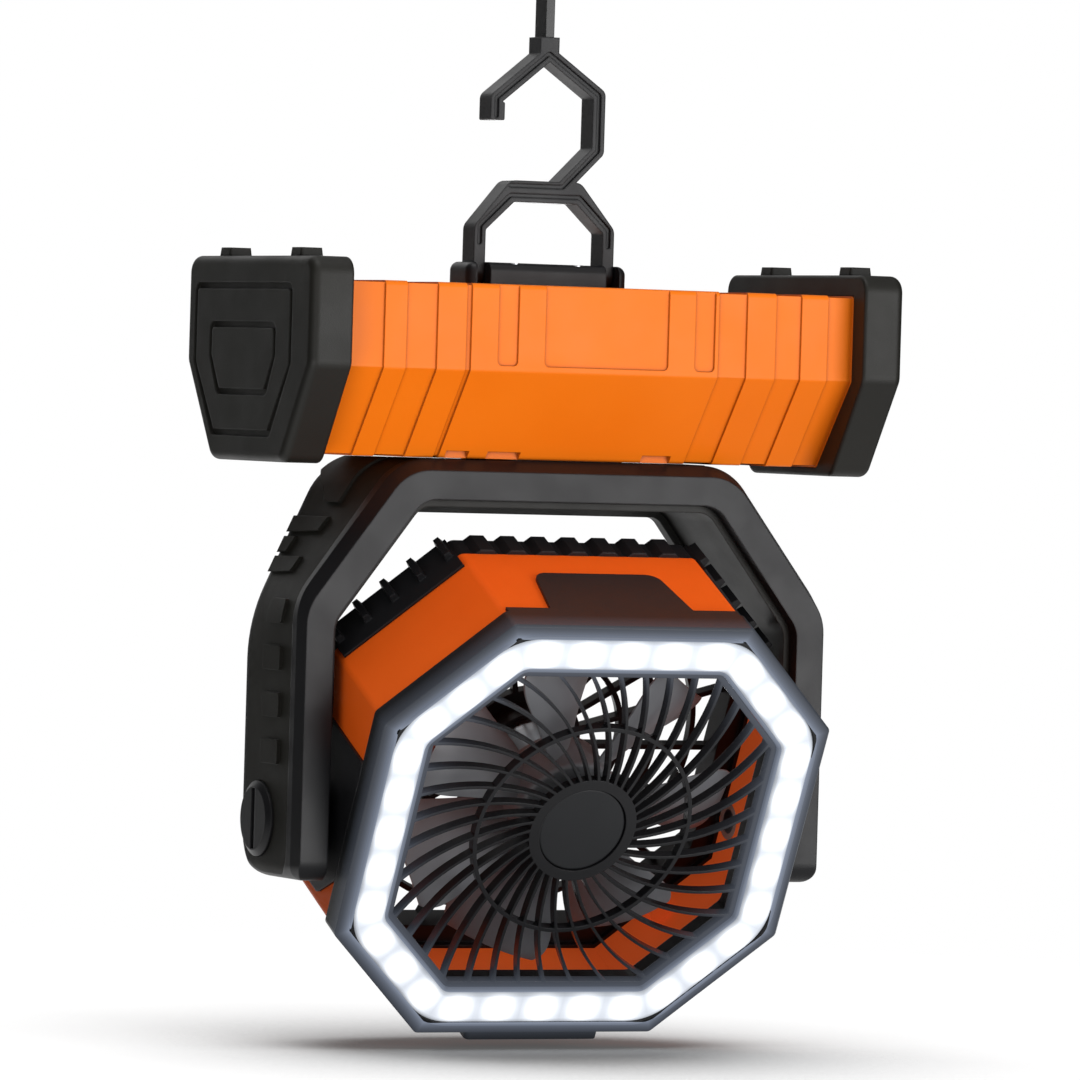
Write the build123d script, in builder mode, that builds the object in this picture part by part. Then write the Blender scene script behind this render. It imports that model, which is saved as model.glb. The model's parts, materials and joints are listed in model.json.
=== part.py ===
"""Portable camping fan with a ring light, hung from its folding hook.

Frame: millimetres, +Z up, -Y towards the user, X along the battery base.
The origin is the centre of the hang hole in the stem; the hook, its hinge and
the tilt pivots of the head all lie in the plane Y = 0.
"""
import os
from math import cos, hypot, radians, sin, sqrt

from build123d import *

os.makedirs("parts", exist_ok=True)

# ---------------------------------------------------------------- clearances
RUNNING = 0.05      # radial, a shaft in its bore
SEAT = 0.15         # between pieces of one body that slide together
MOVING_GAP = 0.4    # between pieces of different bodies

# ---------------------------------------------------------------- hanger
HOLE_TO_DECK = 116.0    # hang hole centre above the top plane of the end caps
HANG_HOLE_RADIUS = 3.0
STEM_WIDTH = 3.8
STEM_DEPTH = 10.4
STEM_TENON_DEPTH = 6.4
STEM_TENON_LENGTH = 6.0
STEM_GROOVE = 0.9

HOOK_DEPTH = 11.3
HOOK_BAR = 5.4
HOOK_GROOVE_WIDTH = 1.7
HOOK_GROOVE_DEPTH = 1.1
HOOK_CORNER = 3.6       # outer corners of the hook's bars
HOOK_CORNER_INSIDE = 0.8
COLLAR_WIDTH = 8.4
COLLAR_TOP = 93.0       # heights of the hook are above the deck
HOOK_APEX = 86.3
HOOK_SIDE = 22.9        # from the middle to the centre line of the upright bar
HOOK_SIDE_TOP = 70.2
HOOK_SIDE_BOTTOM = 47.4
HOOK_ROOT = 5.4
HOOK_TIP_BOTTOM = 58.5
HOOK_TIP_WIDTH = 6.2
HOOK_TIP_HEIGHT = 7.4
BAIL_HALF = 31.3
BAIL_LEG = 5.0
BAIL_TOP = 34.4
BAIL_TOP_BAR = 8.8
BAIL_CORNER = 5.0
BAIL_CORNER_INSIDE = 1.4
BAIL_GROOVE_RISE = 2.7  # bail's groove above its inner edge
ROOT_GROOVE_DROP = 2.1  # hook's groove below the bail's top
BAIL_FLAT_HALF = 15.6
BAIL_LEG_TOP = 15.6
BAIL_BEND_INNER = 1.6

# ---------------------------------------------------------------- hinge plate
HINGE_HEIGHT = 6.05     # hinge axis above the tube's top face
HINGE_PIN_RADIUS = 1.5
PLATE_HALF = 35.6
PLATE_DEPTH = 22.0
PLATE_HEIGHT = 9.4
PLATE_SHOULDER = 3.6    # rounding of the plate's upper ends
PLATE_WALL = 2.0        # plate left outside each end of the pin
PLATE_SCREW_X = 14.0
PLATE_SCREW_Y = 6.2
PLATE_SCREW_RADIUS = 1.5
PLATE_SCREW_LENGTH = 11.6
PLATE_SCREW_HEAD = 3.0
PLATE_SCREW_HEAD_HEIGHT = 2.5

# ---------------------------------------------------------------- battery base
BASE_LENGTH = 262.0
BASE_FORWARD = 9.1      # middle of the base in front of the hook's plane
CAP_WIDTH = 18.1
CAP_OVERLAP = 11.0
CAP_HALF_DEPTH = 63.7
CAP_BOTTOM_HALF = 36.9
CAP_CREASE = 42.9       # below the deck
CAP_HEIGHT = 82.1
CAP_CORNER = 7.0
CAP_ROUND = 3.6         # around the outer face
CAP_RIM_ROUND = 1.4     # around the inner face
CAP_FLOOR = 3.2         # wall left outside the tube's end
CAP_CAVITY_INSET = 6.0
CAP_GROOVE_WIDTH = 2.6
CAP_GROOVE_DEPTH = 1.6
CAP_GROOVES = (          # half width and drop below the deck, top to bottom
    ((48.4, 12.0), (48.4, 42.9), (28.6, 71.0)),
    ((32.5, 27.6), (32.5, 40.0), (24.0, 54.6)),
)
CAP_GROOVE_CORNER = 3.0
CAP_PATTERN_SHIFT = 5.8   # moulded pattern behind the middle of the base
TUBE_SINK = 8.6         # tube top below the deck
TUBE_HALF_DEPTH = 53.2
TUBE_BOTTOM_HALF = 23.9
TUBE_CREASE = 34.8      # below the tube's top
TUBE_HEIGHT = 70.1
TUBE_WALL = 2.6
TUBE_CORNER = 2.0
RELIEF = 0.8            # depth of the moulded bands, slots and panels
LEFT_BANDS = ((0.0, 18.1), (27.6, 41.1), (53.6, 55.9))       # start and end, inward from the end cap
RIGHT_BANDS = ((0.0, 11.3), (23.2, 34.8), (47.7, 60.5))
RELIEF_X = 2.8          # middle of the panel and slots
SLOT_X = 43.6
SLOT_WIDTH = 9.0
SLOT_CORNER = 2.0
PANEL_HALF = 27.4
RELIEF_DROP = 32.6      # panel and slots end this far below the tube's top
FOOT_X = 10.0
FOOT_Y = 11.0
FOOT_HEIGHT = 3.4
FOOT_SPREAD = 36.0
FOOT_PLUG = 2.4         # radius of the foot's plug in the cap
FOOT_PLUG_DEPTH = 4.0

NOTCHES = ((-54.3, -44.3), (-36.1, -21.6), (32.7, 45.6))     # along the tube's lower edges
NOTCH_HEIGHT = 3.0
NOTCH_DEPTH = 0.4       # into the corner of the lower edge

# ---------------------------------------------------------------- inside the base
CELL_LENGTH = 65.0
CELL_FIT = 0.15
CELL_ROWS = 4
CELL_COLUMNS = 2
CELL_GAP = 1.0
CELL_WEB = 3.85         # between two cells side by side
CELL_TOP_DROP = 17.0    # upper row's axes below the tube's top
CONTACT_WIDTH = 9.0
CONTACT_THICKNESS = 0.4
HOLDER_LIP = 2.4
HOLDER_FOOT_WIDTH = 8.0
HOLDER_GAP = 0.4        # to the front wall and to the board

# ---------------------------------------------------------------- rear controls
CONTROL_DROP = 18.0     # middle of the control panel below the tube's top
CONTROL_HALF = 41.0
CONTROL_HEIGHT = 27.0
CONTROL_PROUD = 1.6
CONTROL_RIM = 3.0       # overlap of the panel on the tube around its window
BOARD_BEHIND = 5.0      # board face behind the tube's inner wall
BOARD_THICKNESS = 1.6
BUTTON_RADIUS = 6.0
BUTTON_FLANGE = 1.2
BUTTON_PROUD = 1.0
BUTTON_TRAVEL = 1.0
BUTTON_X = (-31.0, -13.0)
SWITCH_SIZE = 6.0
LIGHT_X = 3.0
LIGHT_PITCH = 3.6
LIGHT_SIZE = (1.8, 6.0)
LIGHT_COUNT = 4
USB_C_X = 20.0
USB_C_SIZE = (9.0, 3.3)
USB_A_X = 31.5
USB_A_SIZE = (5.8, 13.1)
USB_WALL = 0.45
USB_TONGUE = 0.8
USB_DEPTH = 6.5
STANDOFF_X = 36.0
STANDOFF_Z = 8.0
STANDOFF_RADIUS = 1.6

# ---------------------------------------------------------------- bracket
BRACKET_HALF = 116.4
BRACKET_FLAT_HALF = 72.4
BRACKET_CORNER_DROP = 57.9   # from the bar's top to the arms' upper corners
BRACKET_SIDE_WALL = 13.4
BRACKET_BAR_WALL = 11.6
BRACKET_SLOPE_WALL = 12.6
BRACKET_SHOULDER = 4.6       # body above the front face's outline, along the bar
BRACKET_SLOPE_SHOULDER = 3.3
BRACKET_SIDE_SHOULDER = 1.3
BRACKET_BEVEL = 7.0          # depth of the bevel between front face and shoulder
BRACKET_BEVEL_BENDS = (20.0, 20.0)
BRACKET_FRONT_BENDS = (24.0, 26.0)   # upper and side bends of the shoulder
BRACKET_REAR_FLAT_HALF = 84.7
BRACKET_REAR_CORNER_DROP = 67.1
BRACKET_REAR_BENDS = (27.0, 70.0)
LINER_THICKNESS = 3.0
LINER_SETBACK = 6.0
LINER_LIP = 3.0
LINER_LIP_DEPTH = 6.0
LINER_LIP_DROP = 52.0    # lip and liner end this far below the bar's top
LINER_DROP = 104.0
BRACKET_FRONT = 40.0         # front face in front of the pivots
BRACKET_BACK = 16.4
BRACKET_BEND_INSIDE = 12.0
BRACKET_TOE_ROUNDS = (8.0, 20.0)    # front and back of the arms' ends
BRACKET_TOE_CORNER = 6.0
BRACKET_TOE = 23.0           # arm ends below the pivot
SEAT_HEIGHT = 0.5            # gasket between tube and bracket
SEAT_HALF = 27.7
SEAT_HALF_DEPTH = 21.0
TREAD_THICKNESS = 2.2
TREAD_SETBACK = 11.5      # from the front face
TREAD_BACK_RIM = 2.0
TREAD_TOE = 2.0           # rim left below the tread
TREAD_INNER_X = 60.0      # upper end of the tread
LUG_HEIGHT = 1.3
LUG_DEPTH = 17.0
LUG_LENGTH = 9.8
LUG_PITCH = 18.8
LUG_BEHIND = -11.0        # middle of the arm lugs, behind the pivots
ARM_LUGS = 4
SLOPE_LUGS = (            # corners behind the pivots and below the bar's top
    ((11.0, 20.0), (-24.0, 20.2), (-25.5, 27.2), (9.5, 25.6)),
    ((-7.0, 28.4), (-26.5, 28.6), (-26.5, 36.0), (-8.5, 34.4)),
    ((8.0, 36.2), (-22.0, 36.6), (-24.0, 43.4), (6.5, 42.0)),
)
BEND_LUG = (              # as the slope lugs, up to the top of the bracket's body
    (12.0, 14.0), (1.0, 14.0), (-4.0, 9.0), (-19.5, -0.6),
    (-21.5, -BRACKET_SHOULDER), (12.0, -BRACKET_SHOULDER),
)
BRACKET_SCREW_X = 18.0
BRACKET_SCREW_Y = 12.0
BRACKET_SCREW_RADIUS = 2.0
BRACKET_SCREW_HEAD = 4.0
BRACKET_SCREW_HEAD_LENGTH = 4.0
BRACKET_SCREW_GRIP = 7.0     # thread inside the tube's bosses
TUBE_BOSS_RADIUS = 4.6

# ---------------------------------------------------------------- tilt pivots
PIVOT_DROP = 225.7      # pivots below the deck
PIVOT_BOLT_RADIUS = 5.0
PIVOT_BUSH_RADIUS = 7.6
PIVOT_BOLT_HEAD = 8.0
PIVOT_BOLT_HEAD_LENGTH = 4.0
PIVOT_CAP_RADIUS = 15.2
PIVOT_CAP_SINK = 2.6
PIVOT_CAP_PROUD = 2.6
PIVOT_CAP_TAPER = 1.6   # less radius at the cap's outer face
COIN_SLOT_LENGTH = 24.4
COIN_SLOT_WIDTH = 3.4
COIN_SLOT_DEPTH = 1.6
WASHER_RADIUS = 12.0
WASHER_THICKNESS = 0.6

# ---------------------------------------------------------------- head
HEAD_TILT = 26.8        # the face looks this far below the horizon
AXIS_ABOVE_PIVOT = 25.7
FACE = 54.4             # bezel face in front of the pivots, along the fan axis
HEAD_PLAY = 4.7         # between the bezel's sides and the arms
RING_HALF_U = 88.5      # outline of the light ring, up from the fan axis
RING_CHAMFER = 42.6
RING_WIDTH = 13.9
RING_CORNER = 12.0
RING_CORNER_INSIDE = 7.0
RING_PROUD = 1.0
BEZEL_RIM = 5.6
BEZEL_LAND = 6.4        # depth of the bezel's full outline
BEZEL_DEPTH = 10.4
BEZEL_CORNER = 3.0
BEZEL_EDGE = 0.8
SKIRT_THICKNESS = 1.3
SKIRT_DEPTH = 15.0      # above and below
SIDE_SKIRT_DEPTH = 11.6
TAB_HALF_FRONT = 31.5
TAB_CORNER = 6.0
TAB_HALF_BACK = 27.0
TAB_BACK = 10.0
LUG_HALF = 29.5         # pad under the bezel's lower edge
LUG_DROP = 3.5
LUG_BACK = 26.0
LUG_FRONT = 1.0         # pad behind the bezel's face
LUG_CORNER = 2.0
INNER_WALL = 1.5
TRAY_FLOOR = 1.5
TRAY_GROW = 1.0
TRAY_SHOULDER = 1.5
DIFFUSER_THICKNESS = 5.0
DIFFUSER_EDGE = 0.8
LED_BOARD = 1.6
LED_SIZE = 3.5
LED_HEIGHT = 1.4
LED_PITCH = 19.0
SHELL_INSET = 0.1       # between the skirt and the shell's outside
SHELL_WALL = 3.0
SHELL_BACK = -7.5
SHELL_CORNER = 4.0
COVER_THICKNESS = 1.3
COVER_ROUND = 3.0
COVER_BOSS_RADIUS = 14.0
COVER_TOP = 24.2        # above the fan axis
COVER_BOTTOM = 42.5     # below the fan axis
COVER_CUT = 13.0        # lower front corner
COVER_BACK = -7.0       # along the fan axis
BOSS_RADIUS = 4.2
BOSS_LENGTH = 12.0
BOSS_MERGE = 0.8        # how far the bosses grow into the wall
HEAD_SCREW_RADIUS = 1.5
HEAD_SCREW_HEAD = 2.8
HEAD_SCREW_HEAD_LENGTH = 2.4
HEAD_SCREW_GRIP = 9.0

# ---------------------------------------------------------------- front grille
SPOKE_COUNT = 38
SPOKE_WIDTH = 1.2
SPOKE_DEPTH = 4.2
SPOKE_SWEEP = 29.0      # degrees from the hub to SPOKE_REACH
SPOKE_MIDDLE = 50.0
SPOKE_SWEEP_MIDDLE = 15.0
SPOKE_REACH = 84.0
GRILLE_SINK = 1.4
GRILLE_RIM = 2.4
GRILLE_RING_RADIUS = 46.5
GRILLE_RING_WIDTH = 1.7
GRILLE_HUB_RADIUS = 23.2
HUB_CAP_RADIUS = 18.6
HUB_CAP_THICKNESS = 2.0
HUB_CAP_SINK = 0.8

# ---------------------------------------------------------------- rear cover
REAR_DEPTH = 12.5
REAR_RIM = 12.0
REAR_INSET = 0.6
REAR_CHEEK = 8.5        # the rear cover's cheeks reach this far over the slanted sides
REAR_CHEEK_THICKNESS = 1.2
REAR_BAR = 2.2
REAR_BAR_DEPTH = 4.0
REAR_RING_RADII = (44.0, 60.0, 76.0)
REAR_BAR_COUNT = 20
REAR_HUB_RADIUS = 26.0
REAR_LIP = 2.5
REAR_LIP_WALL = 1.6
BAR_REACH = 112.0
PIVOT_POCKET = 3.0
FIN_PITCH = 13.5
FIN_COUNT = 7
FIN_FOOT = 11.0
FIN_TIP = 6.0
FIN_HEIGHT = 2.4
PIN_COUNT = 5
PIN_PITCH = 13.6
PIN_FOOT = 4.4
PIN_TIP = 2.4
PIN_HEIGHT = 5.0

# ---------------------------------------------------------------- motor and rotor
SHAFT_RADIUS = 1.5
MOTOR_RADIUS = 19.0
MOTOR_WALL = 1.6
MOTOR_LENGTH = 26.0
BEARING_RADIUS = 4.0
BEARING_LENGTH = 4.0
MOUNT_WALL = 2.0
MOUNT_FLOOR = 2.0
MOUNT_DEPTH = 10.0
MOTOR_SCREWS = 3
MOTOR_SCREW_CIRCLE = 13.0
MOTOR_SCREW_RADIUS = 1.3
MOTOR_SCREW_HEAD = 2.4
MOTOR_SCREW_HEAD_LENGTH = 2.0
MAGNET_THICKNESS = 3.6
MAGNET_SPLIT = 6.0
ARMATURE_SLOTS = 5
ARMATURE_SLOT_WIDTH = 2.4
ARMATURE_RADIUS = 12.6
ARMATURE_GAP = 1.0      # armature to each bearing
HUB_RADIUS = 23.4
HUB_WALL = 2.0
HUB_BACK = 16.0
HUB_FRONT = 39.5
HUB_BOSS_RADIUS = 5.0
HUB_ROUND = 2.0
BLADE_COUNT = 7
BLADE_TIP = 69.0
BLADE_MIDDLE = 27.0
BLADE_THICKNESS = 1.8
BLADE_EDGE = 0.8
BLADE_CAMBER = 0.10      # rise of the blade's middle line, share of its chord
BLADE_STATIONS = (      # radius, chord, pitch
    (22.0, 18.0, 50.0),
    (36.0, 30.0, 40.0),
    (52.0, 41.0, 32.0),
    (64.0, 44.0, 27.0),
    (BLADE_TIP, 38.0, 25.0),
)
NUT_RADIUS = 3.4
NUT_LENGTH = 2.6

# ---------------------------------------------------------------- derived places
DECK_Z = -HOLE_TO_DECK
TUBE_TOP_Z = DECK_Z - TUBE_SINK
TUBE_BOTTOM_Z = TUBE_TOP_Z - TUBE_HEIGHT
HINGE_Z = TUBE_TOP_Z + HINGE_HEIGHT
BASE_Y = -BASE_FORWARD
BAR_TOP_Z = TUBE_BOTTOM_Z - SEAT_HEIGHT - BRACKET_SHOULDER
TOE_Z = DECK_Z - PIVOT_DROP - BRACKET_TOE
PIVOT_Z = DECK_Z - PIVOT_DROP
TUBE_LENGTH = BASE_LENGTH - 2 * (CAP_WIDTH - CAP_OVERLAP)
CAP_EDGE = BASE_LENGTH / 2 - CAP_WIDTH
FOOT_CENTRE_X = BASE_LENGTH / 2 - CAP_WIDTH / 2
REAR_WALL_Y = BASE_Y + TUBE_HALF_DEPTH
PANEL_INSIDE_Y = REAR_WALL_Y - TUBE_WALL
BOARD_Y = PANEL_INSIDE_Y - BOARD_BEHIND
ARM_INSIDE = BRACKET_HALF - BRACKET_SIDE_WALL
BEZEL_SIDE = ARM_INSIDE - HEAD_PLAY
RING_HALF_X = BEZEL_SIDE - BEZEL_RIM
SHELL_GROW = BEZEL_RIM - SKIRT_THICKNESS - SHELL_INSET
SHELL_FRONT = FACE - BEZEL_LAND
REAR_BACK = SHELL_BACK - REAR_DEPTH
BOSS_FACE = ARM_INSIDE - WASHER_THICKNESS - MOVING_GAP
SHELL_INSIDE = RING_HALF_X + SHELL_GROW - SHELL_WALL

TILT = radians(HEAD_TILT)
HEAD = Plane(
    origin=(0, -sin(TILT) * AXIS_ABOVE_PIVOT, PIVOT_Z + cos(TILT) * AXIS_ABOVE_PIVOT),
    x_dir=(1, 0, 0),
    z_dir=(0, -cos(TILT), -sin(TILT)),
)
HEAD_TOP = Plane(origin=HEAD.origin, x_dir=(1, 0, 0), z_dir=HEAD.y_dir)     # (across, backward)
HEAD_SIDE = Plane(origin=HEAD.origin, x_dir=HEAD.y_dir, z_dir=(1, 0, 0))    # (upward, forward)
HEAD_BACK = Plane(origin=HEAD.origin + HEAD.z_dir * REAR_BACK, x_dir=(-1, 0, 0), z_dir=-HEAD.z_dir)
FAN_AXIS = Axis(HEAD.origin, HEAD.z_dir)
PIVOT_AT = (-AXIS_ABOVE_PIVOT, 0)


def save(piece, name):
    """Label a finished piece and write its STEP file."""
    piece.part.label = name
    export_step(piece.part, f"parts/{name}.step")


def facing(y, z=0):
    """Plane that looks at the fan from the front: X to the right, Z up."""
    return Plane(origin=(0, y, z), x_dir=(1, 0, 0), z_dir=(0, -1, 0))


def mirrored(points):
    """A left half outline, bottom to top, closed by its mirror image."""
    return [*points, *[(-x, y) for x, y in reversed(points)]]


def base_outline(half, bottom_half, top, crease, bottom):
    """Six-sided section of the base in YZ: upright upper faces, sloping lower faces."""
    outline = mirrored([(-bottom_half, bottom), (-half, crease), (-half, top)])
    return [(BASE_Y + y, z) for y, z in outline]


def tube_outline(inset=0.0):
    """Section of the battery tube, set in by a wall."""
    slope = hypot(TUBE_HALF_DEPTH - TUBE_BOTTOM_HALF, TUBE_HEIGHT - TUBE_CREASE)
    run = (TUBE_HALF_DEPTH - TUBE_BOTTOM_HALF) / slope
    rise = (TUBE_HEIGHT - TUBE_CREASE) / slope
    half = TUBE_HALF_DEPTH - inset
    crease = TUBE_TOP_Z - TUBE_CREASE + inset * (1 - rise) / run
    bottom = TUBE_BOTTOM_Z + inset
    bottom_half = half - (crease - bottom) * run / rise
    return base_outline(half, bottom_half, TUBE_TOP_Z - inset, crease, bottom)


def octagon(grow=0.0):
    """Corners of the octagonal head, measured outward from the light ring's outline."""
    half_x = RING_HALF_X + grow
    half_u = RING_HALF_U + grow
    reach = RING_HALF_X + RING_HALF_U - RING_CHAMFER + grow * sqrt(2)
    x = reach - half_u
    u = reach - half_x
    return mirrored([(-x, -half_u), (-half_x, -u), (-half_x, u), (-x, half_u)])


def slope_middles(grow=0.0):
    """Middles of the octagon's four slanted sides, the upper two first."""
    corners = octagon(grow)
    x = (corners[3][0] + corners[2][0]) / 2
    u = (corners[3][1] + corners[2][1]) / 2
    return [(x, u), (-x, u), (x, -u), (-x, -u)]


def bracket_outline(side_wall=0.0, bar_wall=0.0, slope_wall=0.0):
    """Front view of the bracket's front face: bar, two slopes and two arms, each set in by its wall."""
    run = BRACKET_HALF - BRACKET_FLAT_HALF
    slope = hypot(run, BRACKET_CORNER_DROP)
    across = run / slope
    down = BRACKET_CORNER_DROP / slope
    half = BRACKET_HALF - side_wall
    flat = BRACKET_FLAT_HALF + (bar_wall * across - slope_wall) / down
    corner = BAR_TOP_Z + (down * (BRACKET_FLAT_HALF - half) - slope_wall) / across
    return mirrored([(-half, TOE_Z), (-half, corner), (-flat, BAR_TOP_Z - bar_wall)])


def rear_outline(grow):
    """Rear view of the bracket's body, moved outward."""
    run = BRACKET_HALF - BRACKET_REAR_FLAT_HALF
    slope = hypot(run, BRACKET_REAR_CORNER_DROP)
    top = BAR_TOP_Z + BRACKET_SHOULDER
    flat = BRACKET_REAR_FLAT_HALF + grow * (slope - run) / BRACKET_REAR_CORNER_DROP
    corner = top - BRACKET_REAR_CORNER_DROP + grow * (slope - BRACKET_REAR_CORNER_DROP) / run
    return mirrored([(-BRACKET_HALF - grow, TOE_Z), (-BRACKET_HALF - grow, corner), (-flat, top + grow)])


def bracket_section(y, outline, bends):
    """Section of the bracket across Y, with its upper and side bends rounded."""
    with BuildSketch(facing(y)) as section:
        Polygon(*outline)
        fillet(section.vertices().sort_by(Axis.Y)[4:], bends[0])
        fillet(section.vertices().sort_by(Axis.Y)[2:4], bends[1])
        fillet(section.vertices().sort_by(Axis.Y)[:2], BRACKET_TOE_CORNER)
    return section.sketch


def bracket_body(grow=0.0):
    """The bracket's body behind its bevel, moved outward."""
    shoulder = [-BRACKET_SHOULDER - grow, -BRACKET_SLOPE_SHOULDER - grow]
    front = bracket_outline(-grow, *shoulder)
    front_bends = [bend + grow for bend in BRACKET_FRONT_BENDS]
    rear_bends = [bend + grow for bend in BRACKET_REAR_BENDS]
    return loft(
        [
            bracket_section(BRACKET_BACK, rear_outline(grow), rear_bends),
            bracket_section(BRACKET_BEVEL - BRACKET_FRONT, front, front_bends),
        ],
        ruled=True,
    )


def bracket_side(front, back, toe, inset):
    """Side view of the bracket across its whole width, with the arms' ends rounded."""
    with BuildSketch(Plane.YZ.offset(-2 * BRACKET_HALF)) as profile:
        Polygon((front, 0), (front, toe), (back, toe), (back, 0))
        fillet(profile.vertices().sort_by(Axis.Y)[:2].sort_by(Axis.X)[:1], BRACKET_TOE_ROUNDS[0])
        fillet(profile.vertices().sort_by(Axis.X)[-2:].sort_by(Axis.Y)[:1], BRACKET_TOE_ROUNDS[1] - inset)
    return extrude(profile.sketch, amount=4 * BRACKET_HALF)


def screw(radius, length, head_radius, head_length):
    """Screw with a cross recess: its head's top is at the place, its shank goes down."""
    top = (Align.CENTER, Align.CENTER, Align.MAX)
    Cylinder(head_radius, head_length, align=top)
    Cylinder(radius, head_length + length, align=top)
    Box(1.2 * head_radius, 0.3 * head_radius, 0.4 * head_length, align=top, mode=Mode.SUBTRACT)
    Box(0.3 * head_radius, 1.2 * head_radius, 0.4 * head_length, align=top, mode=Mode.SUBTRACT)


def cap_groove(corners, grow):
    """Corners of a moulded pattern on an end cap's outer face, moved outward."""
    middle = BASE_Y + CAP_PATTERN_SHIFT
    top = corners[0][1]
    bottom = corners[-1][1]
    outline = []
    for half, drop in corners:
        drop += grow * (drop == bottom) - grow * (drop == top)
        outline.append((-half - grow, DECK_Z - drop))
    return [(middle + y, z) for y, z in mirrored(outline)]


# ================================================================ hanger: stem and hook
STEM_BOTTOM_Z = DECK_Z + COLLAR_TOP
with BuildPart() as hanger_stem:
    with BuildSketch(Plane.YZ.offset(-STEM_WIDTH / 2)):
        with Locations((0, STEM_BOTTOM_Z / 2)):
            Rectangle(STEM_DEPTH, -STEM_BOTTOM_Z)
        Circle(STEM_DEPTH / 2)
        with Locations((0, STEM_BOTTOM_Z - STEM_TENON_LENGTH / 2)):
            Rectangle(STEM_TENON_DEPTH, STEM_TENON_LENGTH)
        Circle(HANG_HOLE_RADIUS, mode=Mode.SUBTRACT)
    extrude(amount=STEM_WIDTH)
    groove_top = -STEM_DEPTH / 2 - STEM_GROOVE
    with BuildSketch(Plane.YZ.offset(STEM_WIDTH / 2)):
        with Locations((0, (STEM_BOTTOM_Z + groove_top) / 2)):
            Rectangle(STEM_DEPTH / 2, groove_top - STEM_BOTTOM_Z)
    extrude(amount=-STEM_GROOVE, mode=Mode.SUBTRACT)
save(hanger_stem, "hanger_stem")

BAIL_OUTSIDE = mirrored([
    (-BAIL_HALF, HINGE_Z - DECK_Z),
    (-BAIL_HALF, BAIL_LEG_TOP),
    (-BAIL_FLAT_HALF, BAIL_TOP),
])
BAIL_INSIDE = mirrored([
    (-BAIL_HALF + BAIL_LEG, HINGE_Z - DECK_Z),
    (-BAIL_HALF + BAIL_LEG, BAIL_LEG_TOP - BAIL_BEND_INNER),
    (-BAIL_FLAT_HALF + BAIL_BEND_INNER, BAIL_TOP - BAIL_TOP_BAR),
])
HOOK_RISE = (HOOK_SIDE_BOTTOM - BAIL_TOP + BAIL_TOP_BAR / 2) / (HOOK_SIDE - HOOK_ROOT)
HOOK_BENDS = [
    (HOOK_SIDE, HOOK_SIDE_BOTTOM),
    (HOOK_SIDE, HOOK_SIDE_TOP),
    (0, HOOK_APEX),
    (-HOOK_SIDE, HOOK_SIDE_TOP - HOOK_BAR / 2),
]
HOOK_LINE = [
    (HOOK_ROOT, BAIL_TOP - BAIL_TOP_BAR / 2),
    *HOOK_BENDS,
    (-HOOK_SIDE, HOOK_TIP_BOTTOM + HOOK_TIP_HEIGHT / 2),
]
HOOK_GROOVE_LINE = [
    (-BAIL_FLAT_HALF, BAIL_TOP - ROOT_GROOVE_DROP),
    (HOOK_ROOT + (BAIL_TOP_BAR / 2 - ROOT_GROOVE_DROP) / HOOK_RISE, BAIL_TOP - ROOT_GROOVE_DROP),
    *HOOK_BENDS,
    (-HOOK_SIDE, HOOK_TIP_BOTTOM + HOOK_GROOVE_WIDTH),
]
BAIL_LINE = mirrored([
    (-BAIL_HALF + BAIL_LEG / 2, HINGE_Z - DECK_Z + HOOK_DEPTH),
    (-BAIL_HALF + BAIL_LEG / 2, BAIL_LEG_TOP),
    (-BAIL_FLAT_HALF, BAIL_TOP - BAIL_TOP_BAR + BAIL_GROOVE_RISE),
])

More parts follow.
